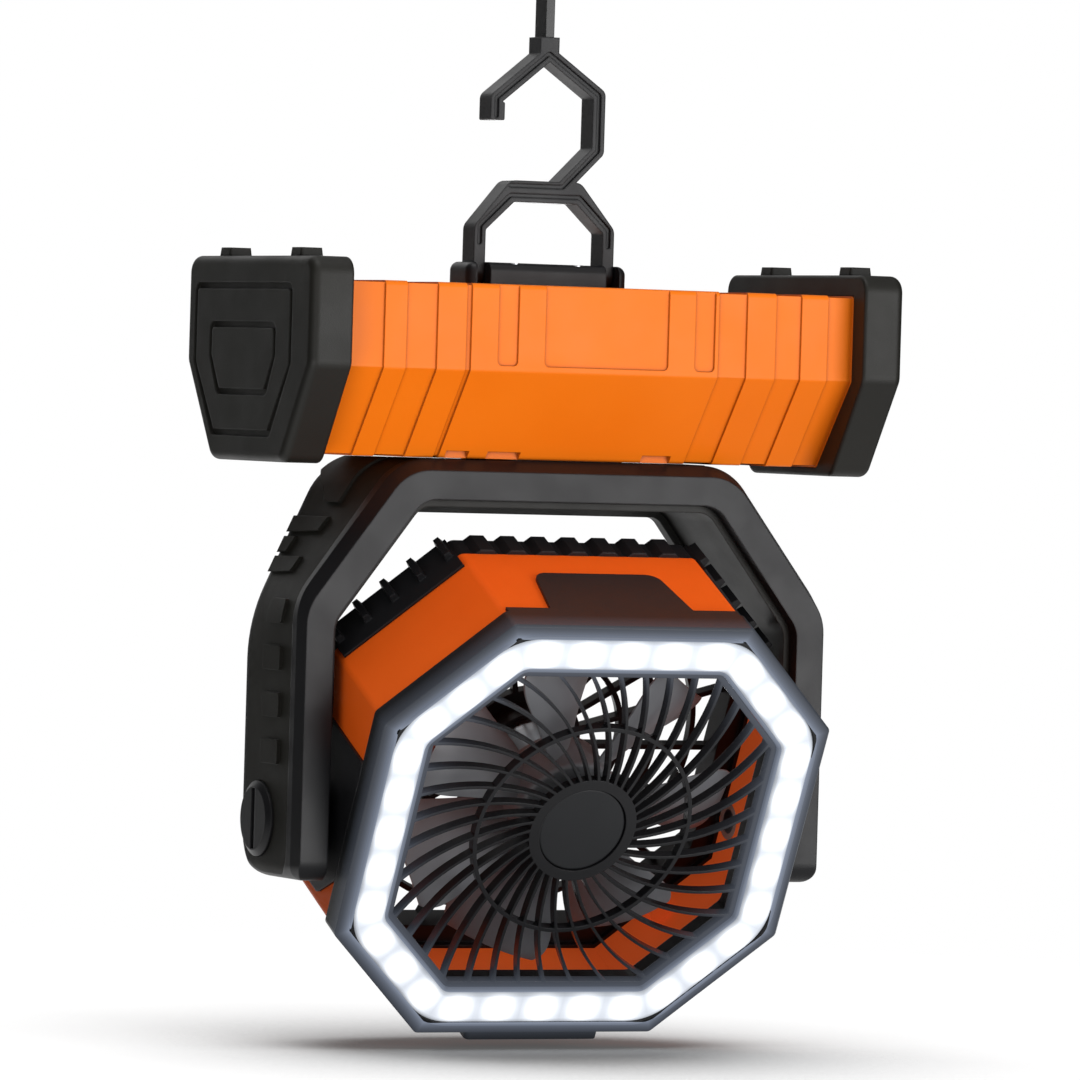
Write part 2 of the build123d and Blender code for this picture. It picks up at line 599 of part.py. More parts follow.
with BuildPart() as hook:
    with BuildSketch(facing(-HOOK_DEPTH / 2, DECK_Z)) as bail_outside:
        Polygon(*BAIL_OUTSIDE)
        fillet(bail_outside.vertices().sort_by(Axis.Y)[2:], BAIL_CORNER)
    extrude(amount=-HOOK_DEPTH)
    with BuildSketch(facing(-HOOK_DEPTH / 2, DECK_Z)) as bail_inside:
        Polygon(*BAIL_INSIDE)
        fillet(bail_inside.vertices().sort_by(Axis.Y)[2:], BAIL_CORNER_INSIDE)
    extrude(amount=-HOOK_DEPTH, mode=Mode.SUBTRACT)
    with BuildSketch(facing(-HOOK_DEPTH / 2, DECK_Z)):
        with BuildLine():
            FilletPolyline(*HOOK_LINE, radius=HOOK_CORNER - HOOK_BAR / 2)
            offset(amount=HOOK_BAR / 2, side=Side.BOTH, kind=Kind.INTERSECTION)
        make_face()
        with Locations((0, (HOOK_APEX + COLLAR_TOP) / 2)):
            Rectangle(COLLAR_WIDTH, COLLAR_TOP - HOOK_APEX)
        tip_x = (HOOK_TIP_WIDTH - HOOK_BAR) / 2 - HOOK_SIDE
        with Locations((tip_x, HOOK_TIP_BOTTOM + HOOK_TIP_HEIGHT / 2)):
            RectangleRounded(HOOK_TIP_WIDTH, HOOK_TIP_HEIGHT, HOOK_CORNER_INSIDE)
    extrude(amount=-HOOK_DEPTH)
    for side in (-1, 1):
        leg = Plane.YZ.offset(side * (BAIL_HALF - BAIL_LEG / 2) - BAIL_LEG / 2)
        with BuildSketch(leg):
            with Locations((0, HINGE_Z)):
                Circle(HOOK_DEPTH / 2)
        extrude(amount=BAIL_LEG)
        with BuildSketch(leg):
            with Locations((0, HINGE_Z)):
                Circle(HINGE_PIN_RADIUS + RUNNING)
        extrude(amount=BAIL_LEG, mode=Mode.SUBTRACT)
    for face_y, into in ((-HOOK_DEPTH / 2, -1), (HOOK_DEPTH / 2, 1)):
        for groove_line in (HOOK_GROOVE_LINE, BAIL_LINE):
            with BuildSketch(facing(face_y, DECK_Z)):
                with BuildLine():
                    FilletPolyline(*groove_line, radius=HOOK_CORNER - HOOK_BAR / 2)
                    offset(amount=HOOK_GROOVE_WIDTH / 2, side=Side.BOTH, kind=Kind.INTERSECTION)
                make_face()
            extrude(amount=into * HOOK_GROOVE_DEPTH, mode=Mode.SUBTRACT)
    with BuildSketch(Plane.XY.offset(STEM_BOTTOM_Z - STEM_TENON_LENGTH - SEAT)):
        Rectangle(STEM_WIDTH + 2 * SEAT, STEM_TENON_DEPTH + 2 * SEAT)
    extrude(amount=STEM_TENON_LENGTH + SEAT, mode=Mode.SUBTRACT)
save(hook, "hook")

# ================================================================ base: hook hinge
with BuildPart() as hook_plate:
    with BuildSketch(Plane.XY.offset(TUBE_TOP_Z)):
        RectangleRounded(2 * PLATE_HALF, PLATE_DEPTH, 4.0)
    extrude(amount=PLATE_HEIGHT)
    fillet(hook_plate.faces().sort_by(Axis.Z)[-1].edges().filter_by(Axis.Y), PLATE_SHOULDER)
    with BuildSketch(Plane.XY.offset(TUBE_TOP_Z)):
        slot_back = HOOK_DEPTH / 2 + MOVING_GAP
        for side in (-1, 1):
            with Locations((side * (BAIL_HALF - BAIL_LEG / 2), (slot_back - PLATE_DEPTH / 2) / 2)):
                Rectangle(BAIL_LEG + 2 * MOVING_GAP, slot_back + PLATE_DEPTH / 2)
    extrude(amount=PLATE_HEIGHT, mode=Mode.SUBTRACT)
    with BuildSketch(Plane.YZ.offset(PLATE_WALL - PLATE_HALF)):
        with Locations((0, HINGE_Z)):
            Circle(HINGE_PIN_RADIUS)
    extrude(amount=2 * (PLATE_HALF - PLATE_WALL), mode=Mode.SUBTRACT)
    with Locations(Plane.XY.offset(TUBE_TOP_Z + PLATE_HEIGHT)):
        with GridLocations(2 * PLATE_SCREW_X, 2 * PLATE_SCREW_Y, 2, 2):
            CounterBoreHole(
                PLATE_SCREW_RADIUS + SEAT, PLATE_SCREW_HEAD + SEAT, PLATE_SCREW_HEAD_HEIGHT, PLATE_HEIGHT
            )
save(hook_plate, "hook_plate")

with BuildPart() as hook_pin:
    with BuildSketch(Plane.YZ.offset(PLATE_WALL - PLATE_HALF)):
        with Locations((0, HINGE_Z)):
            Circle(HINGE_PIN_RADIUS)
    extrude(amount=2 * (PLATE_HALF - PLATE_WALL))
save(hook_pin, "hook_pin")

with BuildPart() as hook_plate_screws:
    with Locations(Plane.XY.offset(TUBE_TOP_Z + PLATE_HEIGHT)):
        with GridLocations(2 * PLATE_SCREW_X, 2 * PLATE_SCREW_Y, 2, 2):
            shank = PLATE_SCREW_LENGTH - PLATE_SCREW_HEAD_HEIGHT
            screw(PLATE_SCREW_RADIUS, shank, PLATE_SCREW_HEAD, PLATE_SCREW_HEAD_HEIGHT)
save(hook_plate_screws, "hook_plate_screws")

# ================================================================ base: battery tube
with BuildPart() as battery_tube:
    with BuildSketch(Plane.YZ.offset(-TUBE_LENGTH / 2)):
        Polygon(*tube_outline())
    extrude(amount=TUBE_LENGTH)
    fillet(battery_tube.edges().filter_by(Axis.X), TUBE_CORNER)
    with BuildSketch(Plane.YZ.offset(-TUBE_LENGTH / 2)):
        Polygon(*tube_outline(TUBE_WALL))
    extrude(amount=TUBE_LENGTH, mode=Mode.SUBTRACT)
    for side, bands in ((-1, LEFT_BANDS), (1, RIGHT_BANDS)):
        for start, end in bands:
            with BuildSketch(Plane.YZ.offset(side * (CAP_EDGE - start))):
                Polygon(*tube_outline(-TUBE_CORNER))
                Polygon(*tube_outline(RELIEF), mode=Mode.SUBTRACT)
            extrude(amount=-side * (end - start), mode=Mode.SUBTRACT)
    relief_top = TUBE_TOP_Z + SLOT_WIDTH
    relief_bottom = TUBE_TOP_Z - RELIEF_DROP
    with BuildSketch(facing(BASE_Y - TUBE_HALF_DEPTH)):
        for middle, half in ((-SLOT_X, SLOT_WIDTH / 2), (0, PANEL_HALF), (SLOT_X, SLOT_WIDTH / 2)):
            with Locations((RELIEF_X + middle, (relief_top + relief_bottom) / 2)):
                RectangleRounded(2 * half, relief_top - relief_bottom, SLOT_CORNER)
    extrude(amount=-RELIEF, mode=Mode.SUBTRACT)
    for front in (-1, 1):
        with BuildSketch(Plane.XY.offset(TUBE_BOTTOM_Z)):
            for start, end in NOTCHES:
                with Locations(((start + end) / 2, BASE_Y + front * (1.5 * TUBE_BOTTOM_HALF - NOTCH_DEPTH))):
                    Rectangle(end - start, TUBE_BOTTOM_HALF)
        extrude(amount=NOTCH_HEIGHT, mode=Mode.SUBTRACT)
    with BuildSketch(facing(REAR_WALL_Y)):
        with Locations((0, TUBE_TOP_Z - CONTROL_DROP)):
            Rectangle(2 * (CONTROL_HALF - CONTROL_RIM), CONTROL_HEIGHT - 2 * CONTROL_RIM)
    extrude(amount=TUBE_WALL, mode=Mode.SUBTRACT)
    with Locations(Plane.XY.offset(TUBE_TOP_Z)):
        with GridLocations(2 * PLATE_SCREW_X, 2 * PLATE_SCREW_Y, 2, 2):
            Hole(PLATE_SCREW_RADIUS, TUBE_WALL)
    with BuildSketch(Plane.XY.offset(TUBE_BOTTOM_Z + TUBE_WALL)):
        with Locations((0, BASE_Y)):
            with GridLocations(2 * BRACKET_SCREW_X, 2 * BRACKET_SCREW_Y, 2, 2):
                Circle(TUBE_BOSS_RADIUS)
    extrude(amount=BRACKET_SCREW_GRIP)
    with BuildSketch(Plane.XY.offset(TUBE_BOTTOM_Z)):
        with Locations((0, BASE_Y)):
            with GridLocations(2 * BRACKET_SCREW_X, 2 * BRACKET_SCREW_Y, 2, 2):
                Circle(BRACKET_SCREW_RADIUS)
    extrude(amount=TUBE_WALL + BRACKET_SCREW_GRIP - SEAT, mode=Mode.SUBTRACT)
save(battery_tube, "battery_tube")

for side, hand in ((-1, "left"), (1, "right")):
    outside = side * BASE_LENGTH / 2
    inside = side * (BASE_LENGTH / 2 - CAP_WIDTH)
    with BuildPart() as end_cap:
        with BuildSketch(Plane.YZ.offset(inside)) as cap_section:
            crease, bottom = DECK_Z - CAP_CREASE, DECK_Z - CAP_HEIGHT
            Polygon(*base_outline(CAP_HALF_DEPTH, CAP_BOTTOM_HALF, DECK_Z, crease, bottom))
            fillet(cap_section.vertices(), CAP_CORNER)
        extrude(amount=side * CAP_WIDTH)
        fillet(end_cap.faces().sort_by(Axis.X)[0 if side < 0 else -1].edges(), CAP_ROUND)
        fillet(end_cap.faces().sort_by(Axis.X)[-1 if side < 0 else 0].edges(), CAP_RIM_ROUND)
        with BuildSketch(Plane.YZ.offset(inside)):
            Polygon(*tube_outline(-SEAT))
        extrude(amount=side * CAP_OVERLAP, mode=Mode.SUBTRACT)
        with BuildSketch(Plane.YZ.offset(inside)):
            Polygon(*tube_outline(CAP_CAVITY_INSET))
        extrude(amount=side * (CAP_WIDTH - CAP_FLOOR), mode=Mode.SUBTRACT)
        for groove in CAP_GROOVES:
            for grow, mode in ((CAP_GROOVE_WIDTH / 2, Mode.SUBTRACT), (-CAP_GROOVE_WIDTH / 2, Mode.ADD)):
                with BuildSketch(Plane.YZ.offset(outside)) as pattern:
                    Polygon(*cap_groove(groove, grow))
                    fillet(pattern.vertices(), CAP_GROOVE_CORNER + grow)
                extrude(amount=-side * CAP_GROOVE_DEPTH, mode=mode)
        with BuildSketch(Plane.XY.offset(DECK_Z)):
            for front in (-1, 1):
                with Locations((side * FOOT_CENTRE_X, BASE_Y + front * FOOT_SPREAD)):
                    Circle(FOOT_PLUG)
        extrude(amount=-FOOT_PLUG_DEPTH - SEAT, mode=Mode.SUBTRACT)
    save(end_cap, f"end_cap_{hand}")

    for front, place in ((-1, "front"), (1, "rear")):
        with BuildPart() as foot:
            with BuildSketch(Plane.XY.offset(DECK_Z)):
                with Locations((side * FOOT_CENTRE_X, BASE_Y + front * FOOT_SPREAD)):
                    RectangleRounded(FOOT_X, FOOT_Y, 1.2)
            extrude(amount=FOOT_HEIGHT, taper=8)
            with BuildSketch(Plane.XY.offset(DECK_Z)):
                with Locations((side * FOOT_CENTRE_X, BASE_Y + front * FOOT_SPREAD)):
                    Circle(FOOT_PLUG)
            extrude(amount=-FOOT_PLUG_DEPTH)
        save(foot, f"foot_{place}_{hand}")

# ================================================================ base: power pack
HOLDER_FRONT_Y = BASE_Y - TUBE_HALF_DEPTH + TUBE_WALL + HOLDER_GAP
HOLDER_BACK_Y = BOARD_Y - BOARD_THICKNESS - HOLDER_GAP
HOLDER_HALF = (HOLDER_BACK_Y - HOLDER_FRONT_Y) / 2
HOLDER_Y = (HOLDER_BACK_Y + HOLDER_FRONT_Y) / 2
CELL_PITCH = 2 * (HOLDER_HALF - HOLDER_LIP) / CELL_ROWS
CELL_RADIUS = (CELL_PITCH - CELL_WEB) / 2
CELL_Z = TUBE_TOP_Z - CELL_TOP_DROP
CELL_BACK_X = CELL_COLUMNS / 2 * (CELL_LENGTH + CELL_GAP) - CELL_GAP / 2
with BuildPart() as battery_cells:
    with Locations(Plane(origin=(0, HOLDER_Y, CELL_Z), x_dir=(0, 1, 0), z_dir=(1, 0, 0))):
        with GridLocations(CELL_PITCH, 0, CELL_ROWS, 1):
            for column in range(CELL_COLUMNS):
                with Locations((0, 0, (column - (CELL_COLUMNS - 1) / 2) * (CELL_LENGTH + CELL_GAP))):
                    Cylinder(CELL_RADIUS, CELL_LENGTH)
save(battery_cells, "battery_cells")

HOLDER_TOP = TUBE_TOP_Z - TUBE_WALL
with BuildPart() as cell_holder:
    with BuildSketch(Plane.YZ.offset(-CELL_BACK_X)):
        with Locations((HOLDER_Y, (HOLDER_TOP + CELL_Z - CELL_RADIUS - HOLDER_LIP) / 2)):
            Rectangle(2 * HOLDER_HALF, HOLDER_TOP - CELL_Z + CELL_RADIUS + HOLDER_LIP)
    extrude(amount=2 * CELL_BACK_X)
    with BuildSketch(Plane.XZ.offset(-HOLDER_BACK_Y)):
        for side in (-1, 1):
            with Locations((side * CELL_BACK_X / 2, CELL_Z - HOLDER_LIP)):
                Rectangle(CELL_BACK_X - 2 * HOLDER_FOOT_WIDTH, 2 * (HOLDER_TOP - CELL_Z))
    extrude(amount=2 * HOLDER_HALF, mode=Mode.SUBTRACT)
    with BuildSketch(Plane.YZ.offset(-CELL_BACK_X)):
        with Locations((HOLDER_Y, CELL_Z)):
            with GridLocations(CELL_PITCH, 0, CELL_ROWS, 1):
                Circle(CELL_RADIUS + CELL_FIT)
    extrude(amount=2 * CELL_BACK_X, mode=Mode.SUBTRACT)
save(cell_holder, "cell_holder")

with BuildPart() as cell_contacts:
    for side in (-1, 1):
        with BuildSketch(Plane.YZ.offset(side * CELL_BACK_X)):
            for pair in (-1, 1):
                with Locations((HOLDER_Y + pair * CELL_PITCH, CELL_Z)):
                    RectangleRounded(CELL_PITCH + CONTACT_WIDTH, CONTACT_WIDTH, 2.0)
        extrude(amount=side * CONTACT_THICKNESS)
save(cell_contacts, "cell_contacts")

# ================================================================ base: rear controls
CONTROL_Z = TUBE_TOP_Z - CONTROL_DROP
PANEL_FACE_Y = REAR_WALL_Y + CONTROL_PROUD
FLANGE_Y = PANEL_INSIDE_Y - MOVING_GAP
SWITCH_Y = FLANGE_Y - BUTTON_FLANGE - BUTTON_TRAVEL - MOVING_GAP
with BuildPart() as control_panel:
    with BuildSketch(facing(REAR_WALL_Y)):
        with Locations((0, CONTROL_Z)):
            RectangleRounded(2 * CONTROL_HALF, CONTROL_HEIGHT, 3.0)
    extrude(amount=-CONTROL_PROUD)
    chamfer(control_panel.faces().sort_by(Axis.Y)[-1].edges(), 0.6)
    with BuildSketch(facing(REAR_WALL_Y)):
        with Locations((0, CONTROL_Z)):
            Rectangle(2 * (CONTROL_HALF - CONTROL_RIM - SEAT), CONTROL_HEIGHT - 2 * (CONTROL_RIM + SEAT))
    extrude(amount=TUBE_WALL)
    with BuildSketch(facing(PANEL_INSIDE_Y)):
        with Locations((0, CONTROL_Z)):
            with GridLocations(2 * STANDOFF_X, 2 * STANDOFF_Z, 2, 2):
                Circle(STANDOFF_RADIUS)
    extrude(amount=BOARD_BEHIND)
    with BuildSketch(facing(PANEL_FACE_Y)):
        with Locations(*[(x, CONTROL_Z) for x in BUTTON_X]):
            Circle(BUTTON_RADIUS + MOVING_GAP)
        with Locations(*[(LIGHT_X + n * LIGHT_PITCH, CONTROL_Z) for n in range(LIGHT_COUNT)]):
            Rectangle(*LIGHT_SIZE)
        with Locations((USB_C_X, CONTROL_Z)):
            SlotOverall(USB_C_SIZE[0] + 2 * SEAT, USB_C_SIZE[1] + 2 * SEAT)
        with Locations((USB_A_X, CONTROL_Z)):
            Rectangle(USB_A_SIZE[0] + 2 * SEAT, USB_A_SIZE[1] + 2 * SEAT)
    extrude(amount=CONTROL_PROUD + TUBE_WALL, mode=Mode.SUBTRACT)
save(control_panel, "control_panel")

for x, name in zip(BUTTON_X, ("fan_button", "light_button")):
    with BuildPart() as button:
        with BuildSketch(facing(PANEL_FACE_Y + BUTTON_PROUD)):
            with Locations((x, CONTROL_Z)):
                Circle(BUTTON_RADIUS)
        extrude(amount=PANEL_FACE_Y + BUTTON_PROUD - FLANGE_Y)
        fillet(button.faces().sort_by(Axis.Y)[-1].edges(), 0.6)
        with BuildSketch(facing(FLANGE_Y)):
            with Locations((x, CONTROL_Z)):
                Circle(BUTTON_RADIUS + BUTTON_FLANGE)
        extrude(amount=BUTTON_FLANGE)
    save(button, name)

with BuildPart() as main_board:
    with BuildSketch(facing(BOARD_Y)):
        with Locations((0, CONTROL_Z)):
            Rectangle(2 * (STANDOFF_X + STANDOFF_RADIUS), CONTROL_HEIGHT)
    extrude(amount=BOARD_THICKNESS)
save(main_board, "main_board")

with BuildPart() as button_switches:
    with BuildSketch(facing(BOARD_Y)):
        with Locations(*[(x, CONTROL_Z) for x in BUTTON_X]):
            Rectangle(SWITCH_SIZE, SWITCH_SIZE)
    extrude(amount=-(SWITCH_Y - BOARD_Y))
save(button_switches, "button_switches")

with BuildPart() as charge_lights:
    with BuildSketch(facing(PANEL_FACE_Y)):
        with Locations(*[(LIGHT_X + n * LIGHT_PITCH, CONTROL_Z) for n in range(LIGHT_COUNT)]):
            Rectangle(*LIGHT_SIZE)
    extrude(amount=PANEL_FACE_Y - BOARD_Y)
save(charge_lights, "charge_lights")

with BuildPart() as usb_c_port:
    with BuildSketch(facing(PANEL_FACE_Y - SEAT)):
        with Locations((USB_C_X, CONTROL_Z)):
            SlotOverall(*USB_C_SIZE)
    extrude(amount=PANEL_FACE_Y - SEAT - BOARD_Y)
    with BuildSketch(facing(PANEL_FACE_Y - SEAT)):
        with Locations((USB_C_X, CONTROL_Z)):
            SlotOverall(USB_C_SIZE[0] - 2 * USB_WALL, USB_C_SIZE[1] - 2 * USB_WALL)
            Rectangle(USB_C_SIZE[0] - 3.0, USB_TONGUE, mode=Mode.SUBTRACT)
    extrude(amount=USB_DEPTH, mode=Mode.SUBTRACT)
save(usb_c_port, "usb_c_port")

with BuildPart() as usb_a_port:
    with BuildSketch(facing(PANEL_FACE_Y - SEAT)):
        with Locations((USB_A_X, CONTROL_Z)):
            Rectangle(*USB_A_SIZE)
    extrude(amount=PANEL_FACE_Y - SEAT - BOARD_Y)
    with BuildSketch(facing(PANEL_FACE_Y - SEAT)):
        with Locations((USB_A_X, CONTROL_Z)):
            Rectangle(USB_A_SIZE[0] - 2 * USB_WALL, USB_A_SIZE[1] - 2 * USB_WALL)
            with Locations((-USB_A_SIZE[0] / 4, 0)):
                Rectangle(USB_TONGUE * 2, USB_A_SIZE[1] - 3.0, mode=Mode.SUBTRACT)
    extrude(amount=USB_DEPTH, mode=Mode.SUBTRACT)
save(usb_a_port, "usb_a_port")

# ================================================================ base: bracket
with BuildPart() as bracket_seat:
    with BuildSketch(Plane.XY.offset(TUBE_BOTTOM_Z - SEAT_HEIGHT)):
        with Locations((0, BASE_Y)):
            RectangleRounded(2 * SEAT_HALF, 2 * SEAT_HALF_DEPTH, 4.0)
            with GridLocations(2 * BRACKET_SCREW_X, 2 * BRACKET_SCREW_Y, 2, 2):
                Circle(BRACKET_SCREW_RADIUS + SEAT, mode=Mode.SUBTRACT)
    extrude(amount=SEAT_HEIGHT)
save(bracket_seat, "bracket_seat")

TREAD_FRONT = TREAD_SETBACK - BRACKET_FRONT
TREAD_BACK = BRACKET_BACK - TREAD_BACK_RIM
bracket_solid = bracket_body()
bracket_core = bracket_body(-TREAD_THICKNESS)
bracket_raised = bracket_body(LUG_HEIGHT)
bracket_bevel = loft(
    [
        bracket_section(
            BRACKET_BEVEL - BRACKET_FRONT,
            bracket_outline(0, -BRACKET_SHOULDER, -BRACKET_SLOPE_SHOULDER),
            BRACKET_FRONT_BENDS,
        ),
        bracket_section(-BRACKET_FRONT, bracket_outline(BRACKET_SIDE_SHOULDER), BRACKET_BEVEL_BENDS),
    ],
    ruled=True,
)
arm_side = bracket_side(-BRACKET_FRONT, BRACKET_BACK, TOE_Z, 0)
tread_side = bracket_side(TREAD_FRONT, TREAD_BACK, TOE_Z + TREAD_TOE, TREAD_TOE)

bracket_treads = {}
for side, hand in ((-1, "left"), (1, "right")):
    with BuildPart() as tread_band:
        add(bracket_solid)
        add(tread_side, mode=Mode.INTERSECT)
        with BuildSketch(Plane.YZ.offset(side * TREAD_INNER_X)):
            Rectangle(4 * BRACKET_FRONT, -2 * TOE_Z)
        extrude(amount=side * BRACKET_HALF, mode=Mode.INTERSECT)
    with BuildPart() as bracket_tread:
        add(bracket_raised)
        with BuildSketch(Plane.YZ.offset(side * TREAD_INNER_X)):
            for lug in (*SLOPE_LUGS, BEND_LUG):
                Polygon(*[(-y, BAR_TOP_Z - drop) for y, drop in lug])
            for n in range(ARM_LUGS):
                with Locations((LUG_BEHIND, BAR_TOP_Z - BRACKET_CORNER_DROP - n * LUG_PITCH)):
                    RectangleRounded(LUG_DEPTH, LUG_LENGTH, 1.5)
        extrude(amount=side * BRACKET_HALF, mode=Mode.INTERSECT)
        add(tread_band.part)
        add(bracket_core, mode=Mode.SUBTRACT)
        with BuildSketch(Plane.YZ.offset(side * TREAD_INNER_X)):
            with Locations((0, PIVOT_Z)):
                Circle(PIVOT_CAP_RADIUS + SEAT)
        extrude(amount=side * BRACKET_HALF, mode=Mode.SUBTRACT)
    bracket_treads[side] = bracket_tread
    save(bracket_tread, f"bracket_tread_{hand}")

BOLT_X = BRACKET_HALF - PIVOT_CAP_SINK - PIVOT_BOLT_HEAD_LENGTH
with BuildPart() as bracket_frame:
    add([bracket_solid, bracket_bevel])
    with BuildSketch(facing(BRACKET_BACK)) as bracket_gap:
        Polygon(*bracket_outline(BRACKET_SIDE_WALL, BRACKET_BAR_WALL, BRACKET_SLOPE_WALL))
        fillet(bracket_gap.vertices().sort_by(Axis.Y)[2:], BRACKET_BEND_INSIDE)
    extrude(amount=BRACKET_FRONT + BRACKET_BACK, mode=Mode.SUBTRACT)
    add(arm_side, mode=Mode.INTERSECT)
    add([tread.part for tread in bracket_treads.values()], mode=Mode.SUBTRACT)
    for side in (-1, 1):
        for radius, start, end in (
            (PIVOT_CAP_RADIUS + SEAT, BRACKET_HALF - PIVOT_CAP_SINK, BRACKET_HALF),
            (PIVOT_BOLT_HEAD + SEAT, BOLT_X, BRACKET_HALF),
            (PIVOT_BOLT_RADIUS, ARM_INSIDE, BRACKET_HALF),
        ):
            with BuildSketch(Plane.YZ.offset(side * start)):
                with Locations((0, PIVOT_Z)):
                    Circle(radius)
            extrude(amount=side * (end - start), mode=Mode.SUBTRACT)
    with Locations(Plane(origin=(0, BASE_Y, BAR_TOP_Z - BRACKET_BAR_WALL), z_dir=(0, 0, -1))):
        with GridLocations(2 * BRACKET_SCREW_X, 2 * BRACKET_SCREW_Y, 2, 2):
            CounterBoreHole(
                BRACKET_SCREW_RADIUS + SEAT,
                BRACKET_SCREW_HEAD + SEAT,
                BRACKET_SCREW_HEAD_LENGTH,
                BRACKET_BAR_WALL + BRACKET_SHOULDER,
            )
save(bracket_frame, "bracket_frame")

with BuildPart() as bracket_screws:
    with Locations(Plane(origin=(0, BASE_Y, BAR_TOP_Z - BRACKET_BAR_WALL), z_dir=(0, 0, -1))):
        with GridLocations(2 * BRACKET_SCREW_X, 2 * BRACKET_SCREW_Y, 2, 2):
            screw(
                BRACKET_SCREW_RADIUS,
                TUBE_BOTTOM_Z - BAR_TOP_Z + BRACKET_BAR_WALL - BRACKET_SCREW_HEAD_LENGTH
                + TUBE_WALL + BRACKET_SCREW_GRIP - 2 * SEAT,
                BRACKET_SCREW_HEAD,
                BRACKET_SCREW_HEAD_LENGTH,
            )
save(bracket_screws, "bracket_screws")

WALLS = BRACKET_SIDE_WALL, BRACKET_BAR_WALL, BRACKET_SLOPE_WALL
with BuildPart() as bracket_liner:
    with BuildSketch(facing(BRACKET_BACK)) as liner_outside:
        Polygon(*bracket_outline(*WALLS))
        fillet(liner_outside.vertices().sort_by(Axis.Y)[2:], BRACKET_BEND_INSIDE)
        with Locations((0, BAR_TOP_Z - LINER_DROP / 2)):
            Rectangle(2 * BRACKET_HALF, LINER_DROP, mode=Mode.INTERSECT)
    extrude(amount=BRACKET_FRONT + BRACKET_BACK - LINER_SETBACK)
    with BuildSketch(facing(BRACKET_BACK - LINER_LIP_DEPTH)) as liner_inside:
        Polygon(*bracket_outline(*[wall + LINER_THICKNESS for wall in WALLS]))
        fillet(liner_inside.vertices().sort_by(Axis.Y)[2:], BRACKET_BEND_INSIDE - LINER_THICKNESS)
    extrude(amount=BRACKET_FRONT + BRACKET_BACK - LINER_SETBACK - LINER_LIP_DEPTH, mode=Mode.SUBTRACT)
    with BuildSketch(facing(BRACKET_BACK)) as lip_inside:
        Polygon(*bracket_outline(*[wall + LINER_THICKNESS + LINER_LIP for wall in WALLS]))
        fillet(lip_inside.vertices().sort_by(Axis.Y)[2:], BRACKET_BEND_INSIDE - LINER_THICKNESS - LINER_LIP)
        with Locations((0, BAR_TOP_Z - (LINER_LIP_DROP + LINER_DROP) / 2)):
            Rectangle(2 * (ARM_INSIDE - LINER_THICKNESS), LINER_DROP - LINER_LIP_DROP)
    extrude(amount=LINER_LIP_DEPTH, mode=Mode.SUBTRACT)
save(bracket_liner, "bracket_liner")

